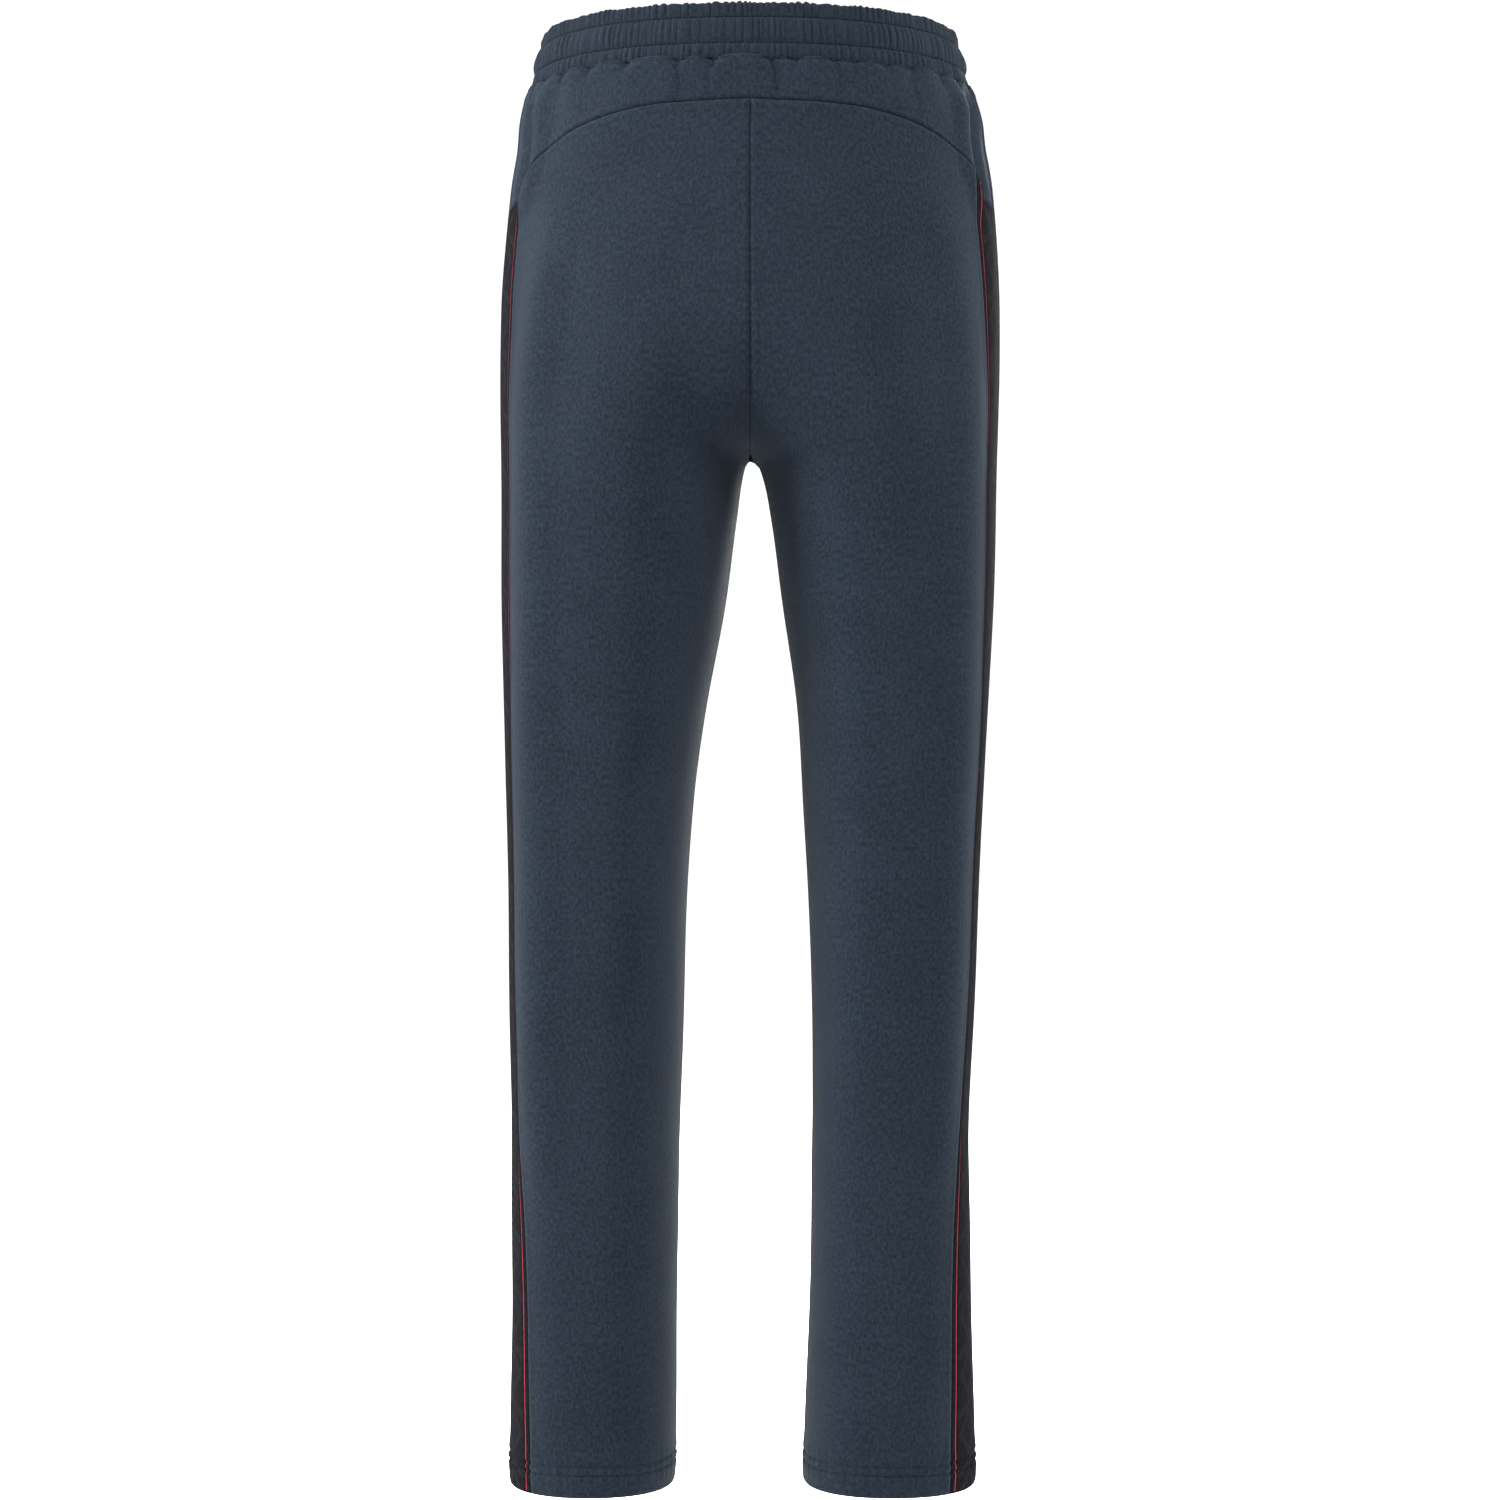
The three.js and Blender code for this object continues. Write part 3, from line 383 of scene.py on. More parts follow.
def place(steps, index, start, end, line=None, room=0.0):
    """Each index's position between start and end, along an inner line if there is one, and its stand-off."""
    first = max((d for e, d, _ in steps if e == "start"), default=0.0)
    last = max((d for e, d, _ in steps if e == "end"), default=0.0)
    kind = np.array([e for e, _, _ in steps])[index]
    value = np.array([d for _, d, _ in steps])[index]
    out = np.array([o for _, _, o in steps])[index]
    way = np.sign(end - start)
    low, high = start + way * first, end - way * last
    at = low + (high - low) * value
    at = np.where(kind == "start", start + way * value, np.where(kind == "end", end - way * value, at))
    if line is not None:
        at = np.where(kind == "before", low + (line - room - low) * value, at)
        at = np.where(kind == "line", line + value, at)
        at = np.where(kind == "after", line + room + (high - line - room) * value, at)
    return at, out


def join_rolls(across, down):
    """The stand-off where an upright roll and a level one cross: the deeper one wins, and rims add up."""
    deeper = np.minimum(across, down)
    return np.where(deeper < 0, deeper, across + down)


# %% Lay a grid on the shape
def flat_grid(columns, rows):
    """A flat grid with one column and one row for each step, and the step numbers of its vertices."""
    bm = bmesh.new()
    bmesh.ops.create_grid(bm, x_segments=columns - 1, y_segments=rows - 1, size=0.5)
    co = np.array([v.co[:] for v in bm.verts])
    column = np.rint((co[:, 0] + 0.5) * (columns - 1)).astype(int)
    row = np.rint((0.5 - co[:, 1]) * (rows - 1)).astype(int)
    return bm, column, row


def to_mesh(bm, name):
    mesh = bpy.data.meshes.new(name)
    bm.to_mesh(mesh)
    bm.free()
    return mesh


def in_scene(name, mesh, material):
    piece = bpy.data.objects.new(name, mesh)
    bpy.context.scene.collection.objects.link(piece)
    piece.data.materials.append(material)
    return piece


def corners(mesh):
    """The vertex at each corner of each face."""
    corner = np.zeros(len(mesh.loops), int)
    mesh.loops.foreach_get("vertex_index", corner)
    return corner


def write_uv(mesh, places):
    """A UV map in metres, with one place for each corner."""
    mesh.uv_layers.new(name="Cloth").data.foreach_set("uv", places.astype(np.float32).ravel())


def finish_cloth(name, bm, points, uv, material, flip, thickness=CLOTH, window=None):
    """Moves the grid's vertices to their points, writes the UV map in metres, opens a window where one is
    given and gives the cloth its thickness."""
    mesh = to_mesh(bm, name)
    mesh.vertices.foreach_set("co", points.astype(np.float32).ravel())
    write_uv(mesh, uv[corners(mesh)] * MM)
    if flip:
        mesh.flip_normals()
    if window is not None:
        cut = bmesh.new()
        cut.from_mesh(mesh)
        inside = [f for f in cut.faces if all(window[v.index] for v in f.verts)]
        bmesh.ops.delete(cut, geom=inside, context="FACES")
        cut.to_mesh(mesh)
        cut.free()
    mesh.shade_smooth()
    mesh.update()
    piece = in_scene(name, mesh, material)
    wall = piece.modifiers.new("Thickness", "SOLIDIFY")
    wall.thickness, wall.offset = thickness * MM, -1
    wall.use_rim = True
    return piece


# An edge's height depends on its arc and its arc on its height, so both are worked out a few times in turn.
SETTLING = 6


def cut_cloth(name, side, start, end, top, bottom, columns, rows, material, out=0.0, folded=True,
              uv_middle=None, thickness=CLOTH, line=None, room=0.0, lip=None, window=None):
    """One piece on one side, from the arc start(z) to end(z) and from the height top(arc) to bottom(arc)."""
    bm, column, row = flat_grid(len(columns), len(rows))
    z = np.full(len(row), -200.0)
    for _ in range(SETTLING):
        arc, out_across = place(columns, column, start(z), end(z), None if line is None else line(z), room)
        z, out_down = place(rows, row, top(arc), bottom(arc))
    stand = over_band(side, arc, z, join_rolls(out_across, out_down) + out)
    if lip is not None:
        stand = stand + lip(arc, z)
    points = cloth_points(side, arc, z, stand, folded)
    middle = 0 if uv_middle is None else uv_middle(z)
    uv = np.stack([arc - middle, z], axis=-1)
    opened = None if window is None else window(arc, z)
    return finish_cloth(name, bm, points, uv, material, SIGN[side] > 0, thickness, opened)


# %% [markdown]
# ## Finishes
# The cloth is a double-knit: fine upright ribs of loops, a slightly mottled dye and a soft sheen at its
# edges. The loops could be modelled one by one, but there are over a million of them, so they are height
# and colour in the material. They follow each piece's own UV map, which is in metres, so every loop has its
# real size.

# %% A small node-building helper
class Finish:
    """A Principled material and short ways to feed it."""

    def __init__(self, name, roughness=0.8, metallic=0.0, sheen=0.0, sheen_tint=(1, 1, 1), specular=0.5):
        self.material = bpy.data.materials.new(name)
        self.material.use_nodes = True
        self.tree = self.material.node_tree
        self.shader = self.tree.nodes["Principled BSDF"]
        values = {"Roughness": roughness, "Metallic": metallic, "Sheen Weight": sheen,
                  "Sheen Roughness": 0.45, "Sheen Tint": (*sheen_tint, 1), "Specular IOR Level": specular}
        for socket, value in values.items():
            self.shader.inputs[socket].default_value = value

    def node(self, kind, sockets=(), **settings):
        made = self.tree.nodes.new(kind)
        for key, value in settings.items():
            setattr(made, key, value)
        for socket, value in dict(sockets).items():
            target = made.inputs[socket]
            if isinstance(value, bpy.types.NodeSocket):
                self.tree.links.new(value, target)
            else:
                target.default_value = value
        return made

    def feed(self, socket, value):
        self.tree.links.new(value, self.shader.inputs[socket])

    def math(self, operation, a, b=0.0, c=0.0):
        return self.node("ShaderNodeMath", {0: a, 1: b, 2: c}, operation=operation).outputs[0]

    def place(self, source="UV", scale=(1, 1, 1)):
        coordinate = self.node("ShaderNodeTexCoord").outputs[source]
        return self.node("ShaderNodeMapping", {"Vector": coordinate, "Scale": scale}).outputs[0]

    def noise(self, where, scale, detail=2.0, rough=0.5):
        return self.node("ShaderNodeTexNoise", {"Vector": where, "Scale": scale, "Detail": detail,
                                                "Roughness": rough}).outputs[0]

    def ramp(self, value, low, high, start=0.3, end=0.7):
        made = self.node("ShaderNodeValToRGB", {"Fac": value})
        made.color_ramp.elements[0].position, made.color_ramp.elements[1].position = start, end
        made.color_ramp.elements[0].color, made.color_ramp.elements[1].color = (*low, 1), (*high, 1)
        return made.outputs[0]

    def mix(self, share, a, b, blend="MIX"):
        made = self.node("ShaderNodeMix", data_type="RGBA", blend_type=blend)
        for index, value in ((0, share), (6, a), (7, b)):
            if isinstance(value, bpy.types.NodeSocket):
                self.tree.links.new(value, made.inputs[index])
            else:
                made.inputs[index].default_value = value if index == 0 else (*value, 1)
        return made.outputs[2]

    def bump(self, height, distance, strength=1.0):
        made = self.node("ShaderNodeBump", {"Height": height, "Distance": distance, "Strength": strength})
        self.feed("Normal", made.outputs[0])


# %% The navy knit
def loops(finish, wale, course):
    """The height of knitted loops, columns of V shapes. wale and course are their pitches."""
    split = finish.node("ShaderNodeSeparateXYZ", {0: finish.place()})
    across = finish.math("MULTIPLY", split.outputs[0], 1 / wale)
    ribs = finish.math("PINGPONG", across, 0.5)
    slant = finish.math("MULTIPLY_ADD", split.outputs[1], 1 / course, finish.math("MULTIPLY", ribs, 1.3))
    legs = finish.math("SINE", finish.math("MULTIPLY", slant, 2 * math.pi))
    round_rib = finish.math("SINE", finish.math("MULTIPLY", ribs, 2 * math.pi))
    return finish.math("MULTIPLY_ADD", legs, 0.22, round_rib)


def knit(name, dark, light, wale=0.00125, course=0.00095, sheen=0.03, mottle=520, depth=0.00022):
    """A knit dyed between two colours."""
    finish = Finish(name, 0.82, sheen=sheen, sheen_tint=(0.62, 0.74, 0.9), specular=0.04)
    where = finish.place(scale=(1, 0.62, 1))
    fleck = finish.noise(where, mottle, 3, 0.62)
    cloud = finish.noise(finish.place("Object"), 22, 3, 0.55)
    shade = finish.math("MULTIPLY_ADD", cloud, 0.16, finish.math("MULTIPLY", fleck, 0.92))
    tone = finish.noise(finish.place(scale=(1, 0.8, 1)), 260, 2)
    teal = (light[0] * 0.84, light[1] * 1.03, light[2] * 1.03)
    plum = (light[0] * 1.3, light[1] * 0.97, light[2] * 0.96)
    dyed = finish.ramp(tone, teal, plum, 0.4, 0.6)
    share = finish.ramp(shade, (0, 0, 0), (1, 1, 1), 0.43, 0.66)
    finish.feed("Base Color", finish.mix(share, dark, dyed))
    finish.feed("Roughness", finish.math("MULTIPLY_ADD", fleck, 0.2, 0.7))
    fuzz = finish.math("MULTIPLY", fleck, 1.6)
    finish.bump(finish.math("MULTIPLY_ADD", loops(finish, wale, course), 0.6, fuzz), depth)
    return finish.material


DYE = (0.0013, 0.0028, 0.0052), (0.0045, 0.0076, 0.0118)
NAVY = knit("navy_knit", *DYE)
BAND = knit("waistband_knit", *DYE, wale=0.0011, depth=0.0003)
POCKETING = knit("pocketing", (0.010, 0.012, 0.016), (0.022, 0.026, 0.032), wale=0.0016, sheen=0.1)


# %% [markdown]
# ## The side tape's finish
# The tape is a fine ribbed braid with a faint woven motif. The motif here is a plain one of outlined
# lozenges with a pair of slanted strokes between them. It is worked out from the tape's UV map, whose
# middle is the tape's own.

# %% Tape, stripe, thread, labels and metals
PITCH = 0.0414


def motif(finish):
    """1 on the motif's lines, 0 beside them."""
    split = finish.node("ShaderNodeSeparateXYZ", {0: finish.place()})
    u, v = split.outputs[0], split.outputs[1]
    near = lambda value, width: finish.math("LESS_THAN", finish.math("ABSOLUTE", value), width)
    upright = finish.math("PINGPONG", v, PITCH / 2)
    lozenge = finish.math("MULTIPLY_ADD", finish.math("ABSOLUTE", u), 1.25, upright)
    rings = [near(finish.math("SUBTRACT", lozenge, size), 0.00045) for size in (0.0155, 0.0125)]
    slant = finish.math("MULTIPLY_ADD", u, 0.55, v)
    strokes = near(finish.math("SUBTRACT", finish.math("PINGPONG", slant, PITCH / 2), 0.0193), 0.0004)
    inside = near(u, 0.0145)
    lines = finish.math("MAXIMUM", finish.math("MAXIMUM", *rings), strokes)
    return finish.math("MULTIPLY", lines, inside)


def braid():
    finish = Finish("side_tape_knit", 0.95, sheen=0.0, specular=0.01)
    fleck = finish.noise(finish.place(scale=(1, 0.4, 1)), 700, 2)
    ground = finish.ramp(fleck, (0.0019, 0.0019, 0.0024), (0.0042, 0.0041, 0.0049))
    lines = motif(finish)
    finish.feed("Base Color", finish.mix(lines, ground, (0.0085, 0.0088, 0.0102)))
    ribs = finish.math("SINE", finish.math("MULTIPLY", finish.node("ShaderNodeSeparateXYZ", {
        0: finish.place()}).outputs[0], 2 * math.pi / 0.0009))
    finish.bump(finish.math("ADD", finish.math("MULTIPLY", ribs, 0.5), lines), 0.00012)
    return finish.material


def plain(name, dark, light, roughness, scale, metallic=0.0, depth=0.0, sheen=0.0, specular=0.5):
    """A finish with fine uneven colour and gloss, for threads, labels and metal."""
    finish = Finish(name, roughness, metallic, sheen, specular=specular)
    grain = finish.noise(finish.place("Object"), scale, 4, 0.6)
    finish.feed("Base Color", finish.ramp(grain, dark, light))
    finish.feed("Roughness", finish.math("MULTIPLY_ADD", grain, 0.2, roughness - 0.1))
    if depth:
        finish.bump(grain, depth)
    return finish.material


TAPE_BRAID = braid()
RED = plain("red_stripe", (0.11, 0.005, 0.010), (0.18, 0.011, 0.02), 0.7, 900, depth=0.00015, specular=0.05)
# The thread is darker than the knit: its colour is partly painted shade for the dents that the stitches pull.
THREAD_AND_PAINTED_SHADE = plain("thread", (0.0004, 0.0007, 0.0012), (0.0012, 0.0018, 0.003), 0.7, 1500, depth=0.0001,
               specular=0.02)
ELASTIC = plain("elastic", (0.62, 0.62, 0.6), (0.8, 0.8, 0.78), 0.8, 800, depth=0.0003)
LABEL = plain("label", (0.42, 0.42, 0.41), (0.52, 0.52, 0.51), 0.6, 1200, depth=0.0001, sheen=0.1)
EYELET_METAL = plain("eyelet_metal", (0.03, 0.032, 0.036), (0.07, 0.072, 0.078), 0.38, 1400, metallic=0.9)
ZIP_METAL = plain("zip_metal", (0.035, 0.038, 0.042), (0.08, 0.083, 0.09), 0.36, 1200, metallic=0.85)
ZIP_TEETH = plain("zip_teeth", (0.008, 0.009, 0.011), (0.02, 0.022, 0.025), 0.35, 900)
ZIP_CLOTH = plain("zip_tape_cloth", (0.007, 0.008, 0.01), (0.02, 0.022, 0.026), 0.8, 1100, depth=0.0002)
print(len(bpy.data.materials), "finishes")

# %% [markdown]
# ## The waistband
# It is one strip of the same knit, folded over a 38 mm elastic and stitched through twice while the elastic
# is stretched. When the elastic lets go, the strip gathers into fine upright pleats and puffs up between
# the rows. Its section is drawn once as a circle of vertices and spun round, then each vertex is moved to
# its place.

# %% A spun ring
def spin_ring(around_steps, section_steps):
    """A torus whose vertices know their step round the waist and their step round the section."""
    bm = bmesh.new()
    upright = Matrix.Translation((10, 0, 0)) @ Matrix.Rotation(math.pi / 2, 4, "X")
    bmesh.ops.create_circle(bm, cap_ends=False, radius=1, segments=section_steps, matrix=upright)
    bmesh.ops.spin(bm, geom=bm.verts[:] + bm.edges[:], cent=(0, 0, 0), axis=(0, 0, 1), angle=2 * math.pi,
                   steps=around_steps, use_merge=True, use_duplicate=False)
    co = np.array([v.co[:] for v in bm.verts])
    turn = np.arctan2(co[:, 1], co[:, 0]) / (2 * math.pi) * around_steps
    tilt = np.arctan2(co[:, 2], np.hypot(co[:, 0], co[:, 1]) - 10) / (2 * math.pi) * section_steps
    return bm, np.rint(turn).astype(int) % around_steps, np.rint(tilt).astype(int) % section_steps


def round_waist(share, z, out):
    """Points at a share of the way round, from the centre back over the wearer's left side."""
    share = share % 1.0
    left = share < 0.5
    half = np.where(left, 2 * share, 2 - 2 * share)
    p = np.zeros((*share.shape, 3))
    for side, where in (("left", left), ("right", ~left)):
        ends = back_end(side, z[where]), front_end(side, z[where])
        arc = ends[0] + (ends[1] - ends[0]) * half[where]
        p[where] = cloth_points(side, arc, z[where], out[where], folded=False)
    return p


# %% Pleats and puffs
# Each zone's upper and lower edge and how far it puffs out. The rows of stitches hold the face at BAND_REST.
ZONES = ((0.0, STITCH_ROWS[0], 1.5), (STITCH_ROWS[0], STITCH_ROWS[1], 1.7), (STITCH_ROWS[1], BAND_SEAM, 1.0))
BAND_REST, PLEAT_PITCH, PLEAT_HEIGHT = 0.4, 5.25, 1.75


def pleats(at, zone):
    """Uneven upright ridges on one zone of the waistband. at runs from -HALF_ROUND to HALF_ROUND."""
    turn = at * math.pi / HALF_ROUND
    phase = at / PLEAT_PITCH + 0.7 * np.sin(9 * turn + zone) + 0.28 * np.sin(23 * turn + 2.1 * zone)
    phase = phase + 0.12 * np.sin(57 * turn + 3 * zone)
    tall = 0.68 + 0.22 * np.sin(17 * turn + 1.7 * zone) + 0.18 * np.sin(41 * turn + 0.4 + zone)
    fine = 0.16 * np.abs(np.cos(math.pi * (at / 2.4 + 0.6 * np.sin(13 * turn + zone))))
    return np.abs(np.cos(math.pi * phase)) ** 0.8 * tall + fine


def band_face(at, z):
    """How far the waistband's face stands off, in millimetres."""
    out = np.full(z.shape, BAND_REST)
    fullness = 0.7 + 0.6 * ease(np.abs(np.abs(at) - 10) / 260)
    beside_eyelet = ease(hump(np.abs(at), 398, 18) * 1.6) * hump(z, -19, 14)
    fullness = fullness * (1 - beside_eyelet)
    for zone, (top, bottom, height) in enumerate(ZONES):
        t = np.clip((z - bottom) / (top - bottom), 0, 1)
        here = (z <= top) & (z > bottom)
        crown = np.clip(4 * t * (1 - t), 0, 1)
        if zone == 0:
            crown = np.clip(1.6 * t, 0, 1)
        pleated = fullness * pleats(at, zone) * (0.12 + 0.88 * crown ** 0.5) * PLEAT_HEIGHT
        out = np.where(here, BAND_REST + (height * crown ** 0.55 + pleated), out)
    return out


FACE_Z = np.linspace(-40.9, -2.0, 40)
BAND_SECTION = (
    [("face", z, 0) for z in FACE_Z]
    + [("over", angle, 0) for angle in np.radians([25, 50, 75, 100, 125, 150])]
    + [("lining", z, 0) for z in np.linspace(-2.0, -38.8, 16)]
    + [("wall", z, -1.9) for z in (-39.0, -20.0, -3.0)]
    + [("wall", -2.2, -0.7)]
    + [("wall", z, 0.3) for z in (-3.0, -20.0)]
    + [("wall", -38.9, 0.3), ("wall", -39.1, 0.0), ("wall", -39.12, -1.7), ("wall", -40.95, -1.7)]
)


def band_point(at, step):
    """Height and stand-off of one step of the section."""
    kind = np.array([k for k, _, _ in BAND_SECTION])[step]
    value = np.array([v for _, v, _ in BAND_SECTION])[step]
    off = np.array([o for _, _, o in BAND_SECTION])[step]
    nub = 1.7 * pleats(at, 0) - 0.55
    edge = band_face(at, np.full(at.shape, -2.0))
    z = np.where(kind == "over", -2.0 + (2.0 + nub) * np.sin(value), value)
    out = np.where(kind == "face", band_face(at, value), off)
    inner = -3.0 - 0.25 * pleats(at, 3)
    middle, reach = (edge + inner) / 2, (edge - inner) / 2
    out = np.where(kind == "over", middle + reach * np.cos(value), out)
    return z, np.where(kind == "lining", inner, out)


def ring_uv(mesh, share, height, length):
    """A UV map in metres that doesn't fold back where the ring closes."""
    corner = corners(mesh)
    u = share[corner].reshape(-1, 4)
    u = np.where((u.max(axis=1) - u.min(axis=1))[:, None] > 0.5, np.where(u < 0.5, u + 1, u), u).ravel()
    write_uv(mesh, np.stack([u * length, height[corner]], axis=-1))


def finish_ring(name, bm, points, material, share, height, length):
    for vertex, point in zip(bm.verts, points):
        vertex.co = point
    bmesh.ops.recalc_face_normals(bm, faces=bm.faces[:])
    mesh = to_mesh(bm, name)
    ring_uv(mesh, share, height, length)
    mesh.shade_smooth()
    return in_scene(name, mesh, material)


def over_band(side, arc, z, stand):
    """Keeps a panel's gathered upper edge in front of the waistband that it swells over."""
    face = band_face(around(side, arc, z), np.minimum(z, 0.0)) + 0.35
    return np.where((z > BAND_SEAM + 0.2) & (stand > -3.45), np.maximum(stand, face), stand)


# %% Make the waistband
BAND_STEPS = 1200


def way_round(share):
    """A share of the way round, from the centre back over the wearer's left, as an arc for pleats."""
    return np.where(share < 0.5, share, share - 1) * 2 * HALF_ROUND


bm, turn, step = spin_ring(BAND_STEPS, len(BAND_SECTION))
share = turn / BAND_STEPS
z, out = band_point(way_round(share), step)
waistband = finish_ring("waistband", bm, round_waist(share, z, out), BAND, share, step * 0.0011, 1.25)
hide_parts("waistband_casing")
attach(waistband, "hips")
print("waistband:", len(waistband.data.polygons), "faces")

# %% [markdown]
# ## Stitches
# Each stitch is a short length of thread lying in the dent it pulls. One row could be a single tube with
# dents, but separate small beads, longer than they are wide, catch the light as thread does and need only
# 30 faces each. The thread is coloured darker than the knit, which paints in the shade of those dents.

# %% Rows of beads
def bead():
    bm = bmesh.new()
    bmesh.ops.create_uvsphere(bm, u_segments=6, v_segments=5, radius=0.5)
    return to_mesh(bm, "bead")


BEAD = bead()


def bead_row(name, places, material, replaced, body):
    """One piece with a bead at each place, a matrix that turns, sizes and moves it."""
    bm = bmesh.new()
    for matrix in places:
        copy = BEAD.copy()
        copy.transform(matrix)
        bm.from_mesh(copy)
        bpy.data.meshes.remove(copy)
    mesh = to_mesh(bm, name)
    mesh.shade_smooth()
    row = in_scene(name, mesh, material)
    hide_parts(replaced)
    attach(row, body)
    print(name, len(places), "beads")


def stitch_row(name, points, normals, replaced, body, length=2.3, width=0.62):
    """A bead along the line at every point, lying flat on the cloth."""
    places = []
    ahead = np.roll(points, -1, axis=0) - np.roll(points, 1, axis=0)
    for point, along, normal in zip(points, ahead, normals):
        x = Vector(along).normalized()
        y = Vector(normal).cross(x).normalized()
        turn = Matrix((x, y, x.cross(y))).transposed().to_4x4()
        size = Matrix.Diagonal((length * MM, width * MM, width * MM, 1))
        places.append(Matrix.Translation(point) @ turn @ size)
    bead_row(name, places, THREAD_AND_PAINTED_SHADE, replaced, body)


BAND_STITCHES = 280
for name, height in zip(("upper", "lower"), STITCH_ROWS):
    share = (np.arange(BAND_STITCHES) + 0.5) / BAND_STITCHES
    z = np.full(share.shape, height)
    face = band_face(way_round(share), z + 0.3)
    points, inside = round_waist(share, z, face + 0.15), round_waist(share, z, face - 1)
    stitch_row(f"waistband_{name}_stitches", points, points - inside, f"waistband_{name}_stitching", "hips")

# %% [markdown]
# ## The panels
# The yoke crosses the back in one piece. Below it, each leg has a back panel, a front panel and the side
# tape, all cut long enough to be turned up at the hem. Each panel is a single piece from waist to hem. It
# stays where it is laid and is not tied to the hips or to a leg.

# %% Edges of the panels
GAP = 0.2
tape_middle = lambda side, z: smooth_line(TAPE[side], z)
yoke_line = lambda arc: smooth_line(YOKE_SEAM, arc)
fixed = lambda value: lambda at: value + 0 * at


def sew_in(piece, nodes, crosses_hip=True):
    """Stands a piece in for its CAD nodes. A piece that crosses the hip stays where it is laid; any other one
    moves with the hips.
    """
    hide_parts(*nodes)
    if crosses_hip:
        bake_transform(piece)
    else:
        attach(piece, "hips")
    return piece


def both(side, name):
    return f"{side}_{name}_seat", f"{side}_{name}_leg"


# %% The yoke
def cut_across_back(name, reach, top, bottom, columns, rows, material, out=0.0, folded=True, thickness=CLOTH):
    """One piece across the centre back. reach(side, z) is how far it goes round on each side."""
    bm, column, row = flat_grid(len(columns), len(rows))
    z = np.full(len(row), -70.0)
    for _ in range(SETTLING):
        from_back, out_across = place(columns, column, reach("left", z), -reach("right", z))
        left = from_back >= 0
        arc = np.where(left, back_end("left", z), back_end("right", z)) - np.abs(from_back)
        upper = np.where(left, top("left", arc), top("right", arc))
        z, out_down = place(rows, row, upper, bottom(arc))
    stand = join_rolls(out_across, out_down) + out
    stand = np.where(left, over_band("left", arc, z, stand), over_band("right", arc, z, stand))
    points = np.where(left[:, None], cloth_points("left", arc, z, stand, folded),
                      cloth_points("right", arc, z, stand, folded))
    return finish_cloth(name, bm, points, np.stack([-from_back, z], axis=-1), material, False, thickness)


yoke = cut_across_back(
    "back_yoke_panel", lambda side, z: back_end(side, z) - (tape_middle(side, z) - TAPE_HALF + GAP),
    lobe_top, lambda arc: yoke_line(arc) + GAP, even(226), even(40), NAVY)
sew_in(yoke, ["back_yoke"], crosses_hip=False)
print("yoke:", len(yoke.data.polygons), "faces")

# %% Back panels
LONG = np.concatenate([np.linspace(0, 0.04, 18)[1:], np.linspace(0.04, 0.4, 100)[1:],
                       np.linspace(0.4, 0.955, 105)[1:], np.linspace(0.955, 1, 42)[1:-1]])


def long_rows():
    return spread(SEAM_ROLL, LONG, HEM_TURN)


for side in SIGN:
    panel = cut_cloth(
        f"{side}_back_panel", side,
        start=lambda z: tape_middle(side, z) + TAPE_HALF + GAP,
        end=lambda z: back_end(side, z) - GAP,
        top=lambda arc: yoke_line(arc) - GAP,
        bottom=fixed(HEM),
        columns=even(72), rows=long_rows(), material=NAVY)
    sew_in(panel, both(side, "back_panel"))
    print(panel.name, len(panel.data.polygons), "faces")


# %% Front panels, with a window for each zip
# Columns across the window, measured from its middle. The cloth turns in from OPENING outwards.
LIP = [-6.4, -5.6, -5.0, -4.6, -4.3, -2.0, 2.0, 4.3, 4.6, 5.0, 5.6, 6.4]
OPENING, LIP_ROOM = 4.3, 7.0
zip_share = lambda z: np.clip((ZIP_TOP - z) / (ZIP_TOP - ZIP_BOTTOM), 0, 1)
zip_line = lambda z: ZIP_ARCS[0] + (ZIP_ARCS[1] - ZIP_ARCS[0]) * zip_share(z)
along_zip = lambda z: ease((-58 - z) / 2.5) * ease((z + 208) / 2.5)


def front_columns():
    steps = [("start", d, o) for d, o in SEAM_ROLL]
    steps += [("before", share, 0.0) for share in np.linspace(0, 1, 30)[1:-1]]
    steps += [("line", d, 0.0) for d in LIP]
    steps += [("after", share, 0.0) for share in np.linspace(0, 1, 20)[1:-1]]
    return steps + [("end", d, o) for d, o in SEAM_ROLL[::-1]]


for side in SIGN:
    panel = cut_cloth(
        f"{side}_front_panel", side,
        start=lambda z: front_end(side, z) + GAP,
        end=lambda z: tape_middle(side, z) - TAPE_HALF - GAP,
        top=lambda arc: lobe_top(side, arc),
        bottom=fixed(HEM),
        columns=front_columns(), rows=long_rows(), material=NAVY, line=zip_line, room=LIP_ROOM,
        lip=lambda arc, z: -1.3 * (1 - ease((np.abs(arc - zip_line(z)) - OPENING) / 1.6)) * along_zip(z),
        window=lambda arc, z: (np.abs(arc - zip_line(z)) < 4.35) & (z < -59) & (z > -207))
    sew_in(panel, both(side, "front_panel"))
    print(panel.name, len(panel.data.polygons), "faces")

# %% [markdown]
# ## The side tapes
# A 42 mm braid is let in between the panels from the yoke to the hem. Its two red lines are narrow cords
# woven into it, so each lies in a groove and stands only a little above it.

